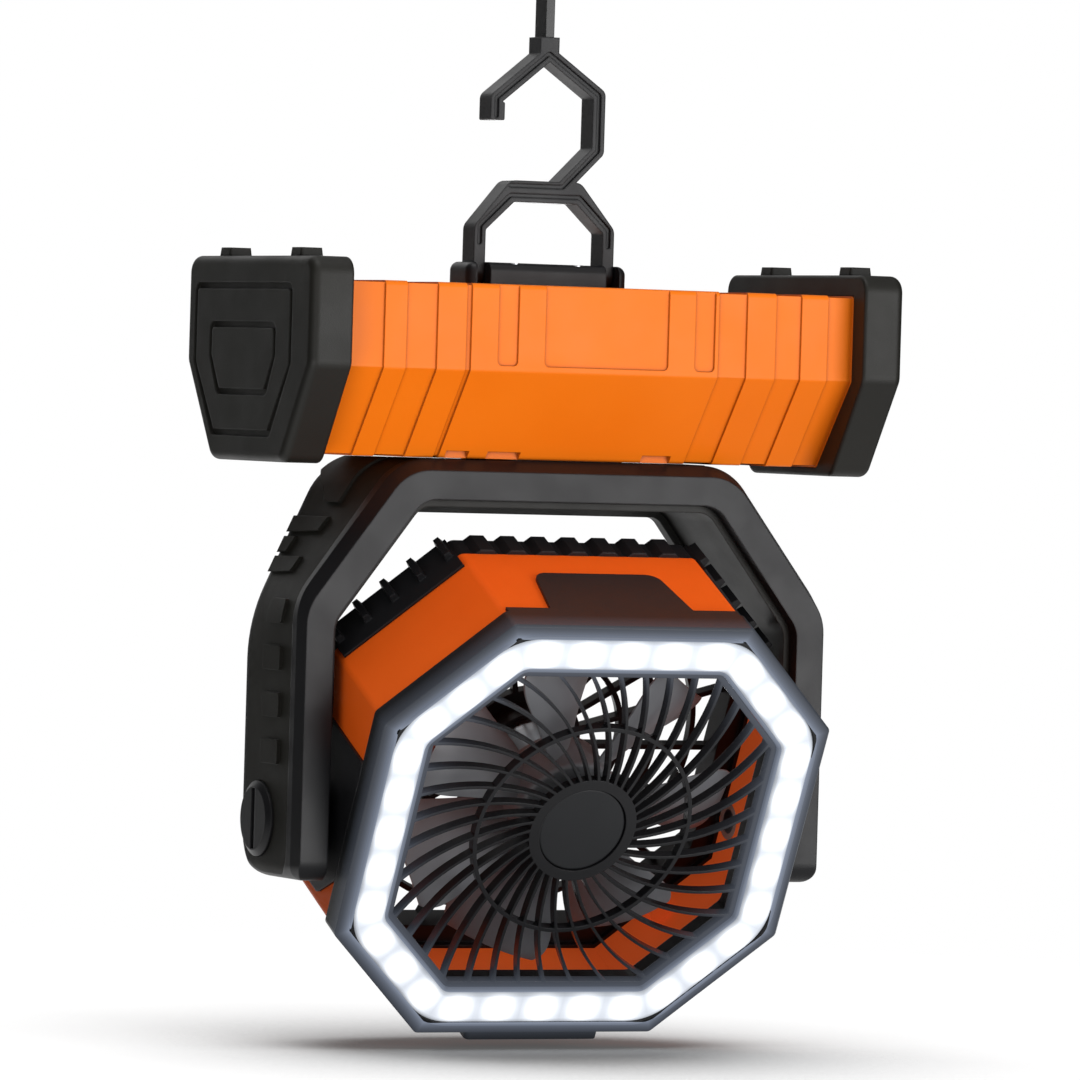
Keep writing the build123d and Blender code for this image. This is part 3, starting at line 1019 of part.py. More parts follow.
# ================================================================ base and head: tilt pivots
COVER_FRONT = FACE - SIDE_SKIRT_DEPTH - SEAT
for side, hand in ((-1, "left"), (1, "right")):
    with BuildPart() as pivot_cap:
        with BuildSketch(Plane.YZ.offset(side * (BRACKET_HALF - PIVOT_CAP_SINK))):
            with Locations((0, PIVOT_Z)):
                Circle(PIVOT_CAP_RADIUS)
        extrude(amount=side * (PIVOT_CAP_SINK + PIVOT_CAP_PROUD))
        outer_face = pivot_cap.faces().filter_by(Axis.X).sort_by(Axis.X)[0 if side < 0 else -1]
        chamfer(outer_face.edges(), PIVOT_CAP_PROUD - SEAT, PIVOT_CAP_TAPER, reference=outer_face)
        with BuildSketch(Plane.YZ.offset(side * (BRACKET_HALF + PIVOT_CAP_PROUD))):
            with Locations((0, PIVOT_Z)):
                Rectangle(COIN_SLOT_WIDTH, COIN_SLOT_LENGTH)
        extrude(amount=-side * COIN_SLOT_DEPTH, mode=Mode.SUBTRACT)
    save(pivot_cap, f"pivot_cap_{hand}")

    with BuildPart() as pivot_bolt:
        with BuildSketch(Plane.YZ.offset(side * (SHELL_INSIDE + SEAT))):
            with Locations((0, PIVOT_Z)):
                Circle(PIVOT_BOLT_RADIUS)
        extrude(amount=side * (BOLT_X - SHELL_INSIDE - SEAT))
        with BuildSketch(Plane.YZ.offset(side * BOLT_X)):
            with Locations((0, PIVOT_Z)):
                Circle(PIVOT_BOLT_HEAD)
        extrude(amount=side * PIVOT_BOLT_HEAD_LENGTH)
    save(pivot_bolt, f"pivot_bolt_{hand}")

    with BuildPart() as friction_washer:
        with BuildSketch(Plane.YZ.offset(side * ARM_INSIDE)):
            with Locations((0, PIVOT_Z)):
                Circle(WASHER_RADIUS)
                Circle(PIVOT_BOLT_RADIUS, mode=Mode.SUBTRACT)
        extrude(amount=-side * WASHER_THICKNESS)
    save(friction_washer, f"friction_washer_{hand}")

    with BuildPart() as pivot_bushing:
        with BuildSketch(HEAD_SIDE.offset(side * SHELL_INSIDE)):
            with Locations(PIVOT_AT):
                Circle(PIVOT_BUSH_RADIUS)
                Circle(PIVOT_BOLT_RADIUS + RUNNING, mode=Mode.SUBTRACT)
        extrude(amount=side * (BOSS_FACE - SHELL_INSIDE))
    save(pivot_bushing, f"pivot_bushing_{hand}")

    with BuildPart() as side_cover:
        with BuildSketch(HEAD_SIDE.offset(side * (BEZEL_SIDE - COVER_THICKNESS))) as cover_face:
            Polygon(
                (COVER_TOP, COVER_FRONT),
                (COVER_CUT - COVER_BOTTOM, COVER_FRONT),
                (-COVER_BOTTOM, COVER_FRONT - COVER_CUT),
                (-COVER_BOTTOM, COVER_BACK),
                (COVER_TOP, COVER_BACK),
            )
            fillet(cover_face.vertices(), COVER_ROUND)
        extrude(amount=side * COVER_THICKNESS)
        with BuildSketch(HEAD_SIDE.offset(side * (BEZEL_SIDE - COVER_THICKNESS))):
            with Locations(PIVOT_AT):
                Circle(COVER_BOSS_RADIUS)
        extrude(amount=side * (BOSS_FACE - BEZEL_SIDE + COVER_THICKNESS))
        with BuildSketch(HEAD_SIDE.offset(side * (BEZEL_SIDE - COVER_THICKNESS))):
            with Locations(PIVOT_AT):
                Circle(PIVOT_BUSH_RADIUS)
        extrude(amount=side * (BOSS_FACE - BEZEL_SIDE + COVER_THICKNESS), mode=Mode.SUBTRACT)
    save(side_cover, f"side_cover_{hand}")

# ================================================================ head: bezel and light
FLAT_X = octagon(BEZEL_RIM)[-1][0] - BEZEL_CORNER / 2
TRAY_Z = FACE - BEZEL_DEPTH
OPENING_GROW = -RING_WIDTH - INNER_WALL
DIFFUSER_BACK = FACE + RING_PROUD - DIFFUSER_THICKNESS
with BuildPart() as front_bezel:
    with BuildSketch(HEAD.offset(SHELL_FRONT)) as bezel_face:
        Polygon(*octagon(BEZEL_RIM))
        fillet(bezel_face.vertices(), BEZEL_CORNER)
    extrude(amount=BEZEL_LAND)
    chamfer(front_bezel.faces().sort_by(FAN_AXIS)[-1].edges(), BEZEL_EDGE)
    with BuildSketch(HEAD.offset(TRAY_Z)):
        Polygon(*octagon(TRAY_GROW))
    extrude(amount=SHELL_FRONT - TRAY_Z)
    with BuildSketch(HEAD.offset(FACE - SIDE_SKIRT_DEPTH)) as skirt:
        Polygon(*octagon(BEZEL_RIM))
        fillet(skirt.vertices(), BEZEL_CORNER)
        Polygon(*octagon(BEZEL_RIM - SKIRT_THICKNESS), mode=Mode.SUBTRACT)
    extrude(amount=SIDE_SKIRT_DEPTH - BEZEL_LAND)
    with BuildSketch(HEAD.offset(FACE - SKIRT_DEPTH)):
        for edge in (-1, 1):
            with Locations((0, edge * (RING_HALF_U + BEZEL_RIM - SKIRT_THICKNESS / 2))):
                Rectangle(2 * FLAT_X, SKIRT_THICKNESS)
    extrude(amount=SKIRT_DEPTH - BEZEL_LAND)
    with BuildSketch(HEAD_TOP.offset(RING_HALF_U + BEZEL_RIM - SKIRT_THICKNESS)) as tab:
        Polygon(
            (-TAB_HALF_FRONT, SKIRT_DEPTH - FACE),
            (-TAB_HALF_BACK, -TAB_BACK),
            (TAB_HALF_BACK, -TAB_BACK),
            (TAB_HALF_FRONT, SKIRT_DEPTH - FACE),
        )
        fillet(tab.vertices().sort_by(Axis.Y)[2:], TAB_CORNER)
    extrude(amount=SKIRT_THICKNESS)
    with BuildSketch(HEAD_TOP.offset(-RING_HALF_U - BEZEL_RIM + SKIRT_THICKNESS)) as lower_pad:
        Polygon(*mirrored([(-LUG_HALF, LUG_FRONT - FACE), (-LUG_HALF, -LUG_BACK)]))
        fillet(lower_pad.vertices(), LUG_CORNER)
    extrude(amount=-LUG_DROP - SKIRT_THICKNESS)
    with BuildSketch(HEAD.offset(FACE - SKIRT_DEPTH)):
        Polygon(*octagon(-RING_WIDTH))
    extrude(amount=SKIRT_DEPTH - BEZEL_DEPTH)
    with BuildSketch(HEAD.offset(FACE - SKIRT_DEPTH)) as opening:
        Polygon(*octagon(OPENING_GROW))
        fillet(opening.vertices(), RING_CORNER_INSIDE - INNER_WALL)
    extrude(amount=SKIRT_DEPTH, mode=Mode.SUBTRACT)
    with BuildSketch(HEAD.offset(DIFFUSER_BACK)) as ring_seat:
        Polygon(*octagon())
        fillet(ring_seat.vertices(), RING_CORNER)
        Polygon(*octagon(-RING_WIDTH), mode=Mode.SUBTRACT)
        fillet(ring_seat.faces()[0].inner_wires()[0].vertices(), RING_CORNER_INSIDE)
    extrude(amount=FACE - DIFFUSER_BACK, mode=Mode.SUBTRACT)
    with BuildSketch(HEAD.offset(TRAY_Z + TRAY_FLOOR)) as ring_well:
        Polygon(*octagon(-TRAY_SHOULDER))
        fillet(ring_well.vertices(), RING_CORNER)
        Polygon(*octagon(TRAY_SHOULDER - RING_WIDTH), mode=Mode.SUBTRACT)
    extrude(amount=DIFFUSER_BACK - TRAY_Z - TRAY_FLOOR, mode=Mode.SUBTRACT)
save(front_bezel, "front_bezel")

with BuildPart() as light_diffuser:
    with BuildSketch(HEAD.offset(DIFFUSER_BACK)) as ring_outline:
        Polygon(*octagon(-SEAT))
        fillet(ring_outline.vertices(), RING_CORNER)
        Polygon(*octagon(SEAT - RING_WIDTH), mode=Mode.SUBTRACT)
        fillet(ring_outline.faces()[0].inner_wires()[0].vertices(), RING_CORNER_INSIDE)
    extrude(amount=DIFFUSER_THICKNESS)
    chamfer(light_diffuser.faces().sort_by(FAN_AXIS)[-1].edges(), DIFFUSER_EDGE)
save(light_diffuser, "light_diffuser")

with BuildPart() as led_board:
    with BuildSketch(HEAD.offset(TRAY_Z + TRAY_FLOOR)) as board_outline:
        Polygon(*octagon(-TRAY_SHOULDER - SEAT))
        fillet(board_outline.vertices(), RING_CORNER)
        Polygon(*octagon(TRAY_SHOULDER + SEAT - RING_WIDTH), mode=Mode.SUBTRACT)
    extrude(amount=LED_BOARD)
save(led_board, "led_board")

led_places = []
led_corners = octagon(-RING_WIDTH / 2)
for start, end in zip(led_corners, [*led_corners[1:], led_corners[0]]):
    count = max(1, round(hypot(end[0] - start[0], end[1] - start[1]) / LED_PITCH))
    for n in range(count):
        share = (n + 0.5) / count
        led_places.append((start[0] + share * (end[0] - start[0]), start[1] + share * (end[1] - start[1])))
with BuildPart() as led_chips:
    with BuildSketch(HEAD.offset(TRAY_Z + TRAY_FLOOR + LED_BOARD)):
        with Locations(*led_places):
            Rectangle(LED_SIZE, LED_SIZE)
    extrude(amount=LED_HEIGHT)
save(led_chips, "led_chips")

# ================================================================ head: front grille
GRILLE_FRONT = FACE - GRILLE_SINK
GRILLE_BACK = GRILLE_FRONT - SPOKE_DEPTH
GRILLE_GROW = OPENING_GROW - SEAT
SPOKE_POINTS = [
    (radius * cos(radians(angle)), radius * sin(radians(angle)))
    for radius, angle in (
        (GRILLE_HUB_RADIUS - 1.0, 0.0),
        (SPOKE_MIDDLE, SPOKE_SWEEP_MIDDLE),
        (SPOKE_REACH, SPOKE_SWEEP),
    )
]
with BuildLine() as spoke_line:
    ThreePointArc(*SPOKE_POINTS)
with BuildPart() as front_grille:
    with BuildSketch(HEAD.offset(GRILLE_BACK)):
        with PolarLocations(0, SPOKE_COUNT):
            SlotArc(spoke_line.edge(), SPOKE_WIDTH)
        Polygon(*octagon(GRILLE_GROW - GRILLE_RIM / 2), mode=Mode.INTERSECT)
    extrude(amount=SPOKE_DEPTH)
    with BuildSketch(HEAD.offset(GRILLE_BACK)):
        Circle(GRILLE_RING_RADIUS + GRILLE_RING_WIDTH / 2)
        Circle(GRILLE_RING_RADIUS - GRILLE_RING_WIDTH / 2, mode=Mode.SUBTRACT)
    extrude(amount=SPOKE_DEPTH)
    with BuildSketch(HEAD.offset(GRILLE_BACK)) as grille_rim:
        Polygon(*octagon(GRILLE_GROW))
        fillet(grille_rim.vertices(), RING_CORNER_INSIDE - INNER_WALL)
        Polygon(*octagon(GRILLE_GROW - GRILLE_RIM), mode=Mode.SUBTRACT)
    extrude(amount=SPOKE_DEPTH)
    with BuildSketch(HEAD.offset(GRILLE_BACK)):
        Circle(GRILLE_HUB_RADIUS)
    extrude(amount=SPOKE_DEPTH)
    with BuildSketch(HEAD.offset(GRILLE_FRONT)):
        Circle(HUB_CAP_RADIUS + SEAT)
    extrude(amount=-HUB_CAP_SINK - HUB_CAP_THICKNESS, mode=Mode.SUBTRACT)
save(front_grille, "front_grille")

with BuildPart() as grille_hub_cap:
    with BuildSketch(HEAD.offset(GRILLE_FRONT - HUB_CAP_SINK - HUB_CAP_THICKNESS)):
        Circle(HUB_CAP_RADIUS)
    extrude(amount=HUB_CAP_THICKNESS)
    fillet(grille_hub_cap.faces().sort_by(FAN_AXIS)[-1].edges(), 0.8)
save(grille_hub_cap, "grille_hub_cap")

# ================================================================ head: shell and rear cover
BOSS_PLACES = slope_middles(SHELL_GROW - SHELL_WALL - BOSS_RADIUS + BOSS_MERGE)
with BuildPart() as head_shell:
    with BuildSketch(HEAD.offset(SHELL_BACK)) as shell_outside:
        Polygon(*octagon(SHELL_GROW))
        fillet(shell_outside.vertices(), SHELL_CORNER)
    extrude(amount=SHELL_FRONT - SHELL_BACK)
    with BuildSketch(HEAD.offset(SHELL_BACK)):
        Polygon(*octagon(SHELL_GROW - SHELL_WALL))
    extrude(amount=SHELL_FRONT - SHELL_BACK, mode=Mode.SUBTRACT)
    with BuildSketch(HEAD.offset(SHELL_BACK + REAR_LIP + SEAT)):
        with Locations(*BOSS_PLACES):
            Circle(BOSS_RADIUS)
    extrude(amount=BOSS_LENGTH)
    with BuildSketch(HEAD.offset(SHELL_BACK)):
        with Locations(*BOSS_PLACES):
            Circle(HEAD_SCREW_RADIUS)
    extrude(amount=REAR_LIP + HEAD_SCREW_GRIP + SEAT, mode=Mode.SUBTRACT)
    for side in (-1, 1):
        with BuildSketch(HEAD_SIDE.offset(side * SHELL_INSIDE)):
            with Locations(PIVOT_AT):
                Circle(PIVOT_BUSH_RADIUS)
        extrude(amount=side * SHELL_WALL, mode=Mode.SUBTRACT)
save(head_shell, "head_shell")

REAR_GROW = SHELL_GROW - REAR_INSET
CHEEK_GROW = SHELL_GROW + SHELL_INSET + REAR_CHEEK_THICKNESS
CHEEK_LENGTH = sqrt(2) * RING_CHAMFER
with BuildPart() as rear_grille:
    with BuildSketch(HEAD.offset(REAR_BACK)) as rear_outside:
        Polygon(*octagon(REAR_GROW))
        fillet(rear_outside.vertices(), SHELL_CORNER)
        for n in range(FIN_COUNT):
            middle = (n - (FIN_COUNT - 1) / 2) * FIN_PITCH
            top = RING_HALF_U + REAR_GROW
            Polygon(
                (middle - FIN_FOOT / 2, top - 1.0),
                (middle + FIN_FOOT / 2, top - 1.0),
                (middle + FIN_FOOT / 2, top),
                (middle + FIN_TIP / 2, top + FIN_HEIGHT),
                (middle - FIN_TIP / 2, top + FIN_HEIGHT),
                (middle - FIN_FOOT / 2, top),
            )
        for x, u in slope_middles(REAR_GROW)[:2]:
            with Locations(Location((x, u, 0), (0, 0, -45 if x > 0 else 45))):
                Rectangle(CHEEK_LENGTH, 2 * (CHEEK_GROW - REAR_GROW))
                with GridLocations(PIN_PITCH, 0, PIN_COUNT, 1):
                    Polygon(
                        (-PIN_FOOT / 2, 0),
                        (PIN_FOOT / 2, 0),
                        (PIN_TIP / 2, PIN_HEIGHT),
                        (-PIN_TIP / 2, PIN_HEIGHT),
                    )
        Polygon(*octagon(REAR_GROW - REAR_RIM), mode=Mode.SUBTRACT)
    extrude(amount=REAR_DEPTH)
    with BuildSketch(HEAD.offset(SHELL_BACK)):
        for x, u in slope_middles(CHEEK_GROW - REAR_CHEEK_THICKNESS / 2)[:2]:
            with Locations(Location((x, u, 0), (0, 0, -45 if x > 0 else 45))):
                Rectangle(CHEEK_LENGTH, REAR_CHEEK_THICKNESS)
    extrude(amount=REAR_CHEEK)
    with BuildSketch(HEAD.offset(SHELL_BACK)):
        Polygon(*octagon(SHELL_GROW - SHELL_WALL - SEAT))
        Polygon(*octagon(SHELL_GROW - SHELL_WALL - SEAT - REAR_LIP_WALL), mode=Mode.SUBTRACT)
    extrude(amount=REAR_LIP)
    with BuildSketch(HEAD.offset(REAR_BACK)):
        with PolarLocations(BAR_REACH / 2, REAR_BAR_COUNT):
            Rectangle(BAR_REACH, REAR_BAR)
        Polygon(*octagon(REAR_GROW - REAR_RIM / 2), mode=Mode.INTERSECT)
    extrude(amount=REAR_BAR_DEPTH)
    for radius in REAR_RING_RADII:
        with BuildSketch(HEAD.offset(REAR_BACK)):
            Circle(radius + REAR_BAR / 2)
            Circle(radius - REAR_BAR / 2, mode=Mode.SUBTRACT)
        extrude(amount=REAR_BAR_DEPTH)
    with BuildSketch(HEAD.offset(REAR_BACK)):
        Circle(REAR_HUB_RADIUS)
    extrude(amount=REAR_BAR_DEPTH)
    with Locations(*[HEAD_BACK * Pos(-x, u, 0) for x, u in BOSS_PLACES]):
        CounterBoreHole(
            HEAD_SCREW_RADIUS + SEAT, HEAD_SCREW_HEAD + SEAT, HEAD_SCREW_HEAD_LENGTH, REAR_DEPTH + REAR_LIP
        )
    with Locations(HEAD_BACK):
        with PolarLocations(MOTOR_SCREW_CIRCLE, MOTOR_SCREWS):
            CounterBoreHole(
                MOTOR_SCREW_RADIUS + SEAT, MOTOR_SCREW_HEAD + SEAT, MOTOR_SCREW_HEAD_LENGTH, REAR_BAR_DEPTH
            )
    for side in (-1, 1):
        with BuildSketch(HEAD_SIDE.offset(side * (SHELL_INSIDE - PIVOT_POCKET))):
            with Locations(PIVOT_AT):
                Circle(PIVOT_BUSH_RADIUS)
        extrude(amount=side * (SHELL_WALL + PIVOT_POCKET), mode=Mode.SUBTRACT)
save(rear_grille, "rear_grille")

with BuildPart() as head_screws:
    with Locations(*[HEAD_BACK * Pos(-x, u, 0) for x, u in BOSS_PLACES]):
        screw(
            HEAD_SCREW_RADIUS,
            REAR_DEPTH + REAR_LIP + HEAD_SCREW_GRIP - HEAD_SCREW_HEAD_LENGTH,
            HEAD_SCREW_HEAD,
            HEAD_SCREW_HEAD_LENGTH,
        )
save(head_screws, "head_screws")

# ================================================================ head: motor
MOUNT_BACK = REAR_BACK + REAR_BAR_DEPTH
MOTOR_BACK = MOUNT_BACK + MOUNT_FLOOR
MOTOR_FRONT = MOTOR_BACK + MOTOR_LENGTH
with BuildPart() as motor_mount:
    with BuildSketch(HEAD.offset(MOUNT_BACK)):
        Circle(MOTOR_RADIUS + SEAT + MOUNT_WALL)
    extrude(amount=MOUNT_DEPTH)
    with BuildSketch(HEAD.offset(MOTOR_BACK)):
        Circle(MOTOR_RADIUS + SEAT)
    extrude(amount=MOUNT_DEPTH - MOUNT_FLOOR, mode=Mode.SUBTRACT)
    with BuildSketch(HEAD_BACK.offset(-REAR_BAR_DEPTH)):
        Circle(BEARING_RADIUS - 1.0)
        with PolarLocations(MOTOR_SCREW_CIRCLE, MOTOR_SCREWS):
            Circle(MOTOR_SCREW_RADIUS)
    extrude(amount=-MOUNT_FLOOR, mode=Mode.SUBTRACT)
save(motor_mount, "motor_mount")

with BuildPart() as motor_screws:
    with Locations(HEAD_BACK):
        with PolarLocations(MOTOR_SCREW_CIRCLE, MOTOR_SCREWS):
            screw(
                MOTOR_SCREW_RADIUS,
                REAR_BAR_DEPTH - MOTOR_SCREW_HEAD_LENGTH + MOUNT_FLOOR - SEAT,
                MOTOR_SCREW_HEAD,
                MOTOR_SCREW_HEAD_LENGTH,
            )
save(motor_screws, "motor_screws")

with BuildPart() as motor_can:
    with BuildSketch(HEAD.offset(MOTOR_BACK)):
        Circle(MOTOR_RADIUS)
    extrude(amount=MOTOR_LENGTH)
    fillet(motor_can.edges().filter_by(GeomType.CIRCLE).sort_by(FAN_AXIS)[-1], 1.2)
    with BuildSketch(HEAD.offset(MOTOR_BACK + MOTOR_WALL)):
        Circle(MOTOR_RADIUS - MOTOR_WALL)
    extrude(amount=MOTOR_LENGTH - 2 * MOTOR_WALL, mode=Mode.SUBTRACT)
    with BuildSketch(HEAD.offset(MOTOR_BACK)):
        Circle(BEARING_RADIUS)
    extrude(amount=MOTOR_LENGTH, mode=Mode.SUBTRACT)
save(motor_can, "motor_can")

bearing_starts = {"motor_bearing_rear": MOTOR_BACK, "motor_bearing_front": MOTOR_FRONT - BEARING_LENGTH}
for name, start in bearing_starts.items():
    with BuildPart() as bearing:
        with BuildSketch(HEAD.offset(start)):
            Circle(BEARING_RADIUS)
            Circle(SHAFT_RADIUS + RUNNING, mode=Mode.SUBTRACT)
        extrude(amount=BEARING_LENGTH)
    save(bearing, name)

with BuildPart() as motor_magnets:
    with BuildSketch(HEAD.offset(MOTOR_BACK + BEARING_LENGTH)):
        Circle(MOTOR_RADIUS - MOTOR_WALL)
        Circle(MOTOR_RADIUS - MOTOR_WALL - MAGNET_THICKNESS, mode=Mode.SUBTRACT)
        Rectangle(2 * MOTOR_RADIUS, MAGNET_SPLIT, mode=Mode.SUBTRACT)
    extrude(amount=MOTOR_LENGTH - 2 * BEARING_LENGTH)
save(motor_magnets, "motor_magnets")

# ================================================================ rotor
with BuildPart() as rotor_shaft:
    with BuildSketch(HEAD.offset(MOTOR_BACK + MOVING_GAP)):
        Circle(SHAFT_RADIUS)
    extrude(amount=HUB_FRONT + NUT_LENGTH - MOTOR_BACK - MOVING_GAP)
save(rotor_shaft, "rotor_shaft")

with BuildPart() as motor_armature:
    with BuildSketch(HEAD.offset(MOTOR_BACK + BEARING_LENGTH + ARMATURE_GAP)):
        Circle(ARMATURE_RADIUS)
        with PolarLocations(ARMATURE_RADIUS, ARMATURE_SLOTS):
            Rectangle(ARMATURE_RADIUS, ARMATURE_SLOT_WIDTH, mode=Mode.SUBTRACT)
        Circle(SHAFT_RADIUS, mode=Mode.SUBTRACT)
    extrude(amount=MOTOR_LENGTH - 2 * (BEARING_LENGTH + ARMATURE_GAP))
save(motor_armature, "motor_armature")


def blade_point(along, across, pitch):
    """A point of a blade section, turned from the chord line to the blade's pitch."""
    turn = radians(pitch)
    return along * cos(turn) - across * sin(turn), along * sin(turn) + across * cos(turn)


with BuildPart() as blade:
    for radius, chord, pitch in BLADE_STATIONS:
        station = Plane(
            origin=HEAD.origin + HEAD.x_dir * radius + HEAD.z_dir * BLADE_MIDDLE,
            x_dir=HEAD.y_dir,
            z_dir=HEAD.x_dir,
        )
        rise = chord * BLADE_CAMBER
        half = chord / 2
        with BuildSketch(station):
            with BuildLine():
                upper = ThreePointArc(
                    blade_point(-half, BLADE_EDGE / 2, pitch),
                    blade_point(0, rise + BLADE_THICKNESS / 2, pitch),
                    blade_point(half, BLADE_EDGE / 2, pitch),
                )
                lower = ThreePointArc(
                    blade_point(-half, -BLADE_EDGE / 2, pitch),
                    blade_point(0, rise - BLADE_THICKNESS / 2, pitch),
                    blade_point(half, -BLADE_EDGE / 2, pitch),
                )
                Line(upper @ 0, lower @ 0)
                Line(upper @ 1, lower @ 1)
            make_face()
    loft()

with BuildPart() as impeller:
    with BuildSketch(HEAD.offset(HUB_BACK)):
        Circle(HUB_RADIUS)
    extrude(amount=HUB_FRONT - HUB_BACK)
    fillet(impeller.faces().sort_by(FAN_AXIS)[-1].edges(), HUB_ROUND)
    for n in range(BLADE_COUNT):
        add(blade.part.rotate(FAN_AXIS, n * 360 / BLADE_COUNT))
    with BuildSketch(HEAD.offset(HUB_BACK)):
        Circle(HUB_RADIUS - HUB_WALL)
        Circle(HUB_BOSS_RADIUS, mode=Mode.SUBTRACT)
    extrude(amount=HUB_FRONT - HUB_WALL - HUB_BACK, mode=Mode.SUBTRACT)
    with BuildSketch(HEAD.offset(HUB_BACK)):
        Circle(SHAFT_RADIUS)
    extrude(amount=HUB_FRONT - HUB_BACK, mode=Mode.SUBTRACT)
save(impeller, "impeller")

with BuildPart() as impeller_nut:
    with BuildSketch(HEAD.offset(HUB_FRONT)):
        RegularPolygon(NUT_RADIUS, 6)
        Circle(SHAFT_RADIUS, mode=Mode.SUBTRACT)
    extrude(amount=NUT_LENGTH)
save(impeller_nut, "impeller_nut")
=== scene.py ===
import json
import math

import bpy
from mathutils import Matrix, Vector


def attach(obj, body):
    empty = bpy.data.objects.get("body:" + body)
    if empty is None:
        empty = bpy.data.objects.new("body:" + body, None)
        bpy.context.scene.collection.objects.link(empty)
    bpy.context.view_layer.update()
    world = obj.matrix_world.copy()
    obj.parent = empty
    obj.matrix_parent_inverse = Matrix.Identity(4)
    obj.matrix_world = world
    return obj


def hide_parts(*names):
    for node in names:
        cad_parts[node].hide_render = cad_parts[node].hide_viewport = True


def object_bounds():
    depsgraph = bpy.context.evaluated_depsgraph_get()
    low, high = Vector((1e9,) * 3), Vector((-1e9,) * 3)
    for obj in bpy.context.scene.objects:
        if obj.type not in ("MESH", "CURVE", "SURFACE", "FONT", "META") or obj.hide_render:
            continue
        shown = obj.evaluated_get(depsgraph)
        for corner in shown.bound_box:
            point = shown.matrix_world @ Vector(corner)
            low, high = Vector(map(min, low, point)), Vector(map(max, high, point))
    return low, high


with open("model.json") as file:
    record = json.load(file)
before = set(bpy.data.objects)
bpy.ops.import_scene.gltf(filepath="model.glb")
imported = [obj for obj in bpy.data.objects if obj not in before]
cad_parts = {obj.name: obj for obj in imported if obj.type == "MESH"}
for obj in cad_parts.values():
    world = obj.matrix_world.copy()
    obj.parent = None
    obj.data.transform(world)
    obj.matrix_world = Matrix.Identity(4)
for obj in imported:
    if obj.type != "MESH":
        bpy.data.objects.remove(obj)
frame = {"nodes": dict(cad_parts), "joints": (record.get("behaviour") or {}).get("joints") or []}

cad_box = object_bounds()


def put_in_scene(made):
    bpy.context.scene.collection.objects.link(made)


def mesh_object(name, points, faces, paint):
    data = bpy.data.meshes.new(name)
    data.from_pydata(points, [], faces)
    data.materials.append(paint)
    made = bpy.data.objects.new(name, data)
    put_in_scene(made)
    return made


# ---------------------------------------------------------------- camera
FOCAL_PX = 8618.573
PICTURE_PX = 1080.0
SENSOR_MM = 36.0
FARTHEST = 100.0                    # that the camera sees
# Where the camera stands in the frame, and how it is turned
CAMERA_AT = Vector((-1.479412, -3.182609, -0.165516))
CAMERA_RIGHT = Vector((0.9061277, -0.4219546, 0.0297806))
CAMERA_UP = Vector((-0.0195439, 0.0285657, 0.9994008))
CAMERA_AHEAD = Vector((0.4225525, 0.9061668, -0.0176375))

camera_data = bpy.data.cameras.new("camera")
camera_data.sensor_width = SENSOR_MM
camera_data.lens = FOCAL_PX / PICTURE_PX * SENSOR_MM
camera_data.clip_end = FARTHEST
camera = bpy.data.objects.new("camera", camera_data)
put_in_scene(camera)
camera_turn = Matrix((CAMERA_RIGHT, CAMERA_UP, -CAMERA_AHEAD)).transposed()
camera.matrix_world = Matrix.Translation(CAMERA_AT) @ camera_turn.to_4x4()
bpy.context.scene.camera = camera
bpy.context.scene.view_settings.view_transform = "Standard"


# ---------------------------------------------------------------- the head's own directions
fan_axis = next(joint for joint in frame["joints"] if joint["name"] == "rotor_spin")
FAN_CENTRE = Vector(fan_axis["pos_m"])
AHEAD = Vector(fan_axis["axis"])
RIGHT = Vector((1.0, 0.0, 0.0))
UP = AHEAD.cross(RIGHT)

RING_HALF = (0.0927, 0.0885)        # across and up
RING_CUT = 0.0426                   # of each corner
RING_REACH = sum(RING_HALF) - RING_CUT      # across plus up, on the slanted sides
RING_WIDTH = 0.0139
FACE = 0.0544                       # bezel face ahead of the fan's centre
LENS_FIT = 0.00015                  # gap round the lens
SHELL_MIDDLE = 0.002                # middle of the shell's wall, outward from the ring's outline, where the painted light inside the shell ends


def head_point(across, up, ahead):
    return FAN_CENTRE + RIGHT * across + UP * up + AHEAD * ahead


def octagon(grow):
    """Corners of the ring's outline moved outward by grow, anticlockwise from the lower right."""
    half_across, half_up = RING_HALF[0] + grow, RING_HALF[1] + grow
    reach = RING_REACH + grow * math.sqrt(2.0)
    across, up = reach - half_up, reach - half_across
    right = [(across, -half_up), (half_across, -up), (half_across, up), (across, half_up)]
    return right + [(-x, y) for x, y in reversed(right)]


# ---------------------------------------------------------------- nodes that the materials share
WHITE = (1.0, 1.0, 1.0, 1.0)
NOISE_SPAN = (0.3, 0.7)             # where nearly all of a noise lies
TINT_SPAN = (0.32, 0.68)
BEVEL_SAMPLES = 4
GRAIN_DEPTH = 0.0002
GRAIN_DETAIL = 2.0
GRAIN_ROUGHNESS = 0.6
# Painted shade in creases, from how open each point's surroundings are
CREASE_SHADE_REACH = 0.0025
CREASE_SHADE_SPAN = (0.5, 0.95)           # of the open share, from darkest painted shade to plain
CREASE_SHADE_SAMPLES = 6


def linear(red, green, blue):
    """Colour from 0 to 255 display values to linear."""
    def one(value):
        value /= 255.0
        return value / 12.92 if value <= 0.04045 else ((value + 0.055) / 1.055) ** 2.4
    return (one(red), one(green), one(blue), 1.0)


def bare_material(name):
    made = bpy.data.materials.new(name)
    made.use_nodes = True
    tree = made.node_tree
    tree.nodes.clear()
    return made, tree, tree.nodes.new("ShaderNodeOutputMaterial")


def new_material(name):
    made, tree, out = bare_material(name)
    shader = tree.nodes.new("ShaderNodeBsdfPrincipled")
    tree.links.new(shader.outputs["BSDF"], out.inputs["Surface"])
    return made, tree, shader


def tree_and_shader(made):
    tree = made.node_tree
    return tree, next(node for node in tree.nodes if node.type == "BSDF_PRINCIPLED")


def own_place(tree):
    """A point's place in the object's own metres."""
    return tree.nodes.new("ShaderNodeTexCoord").outputs["Object"]


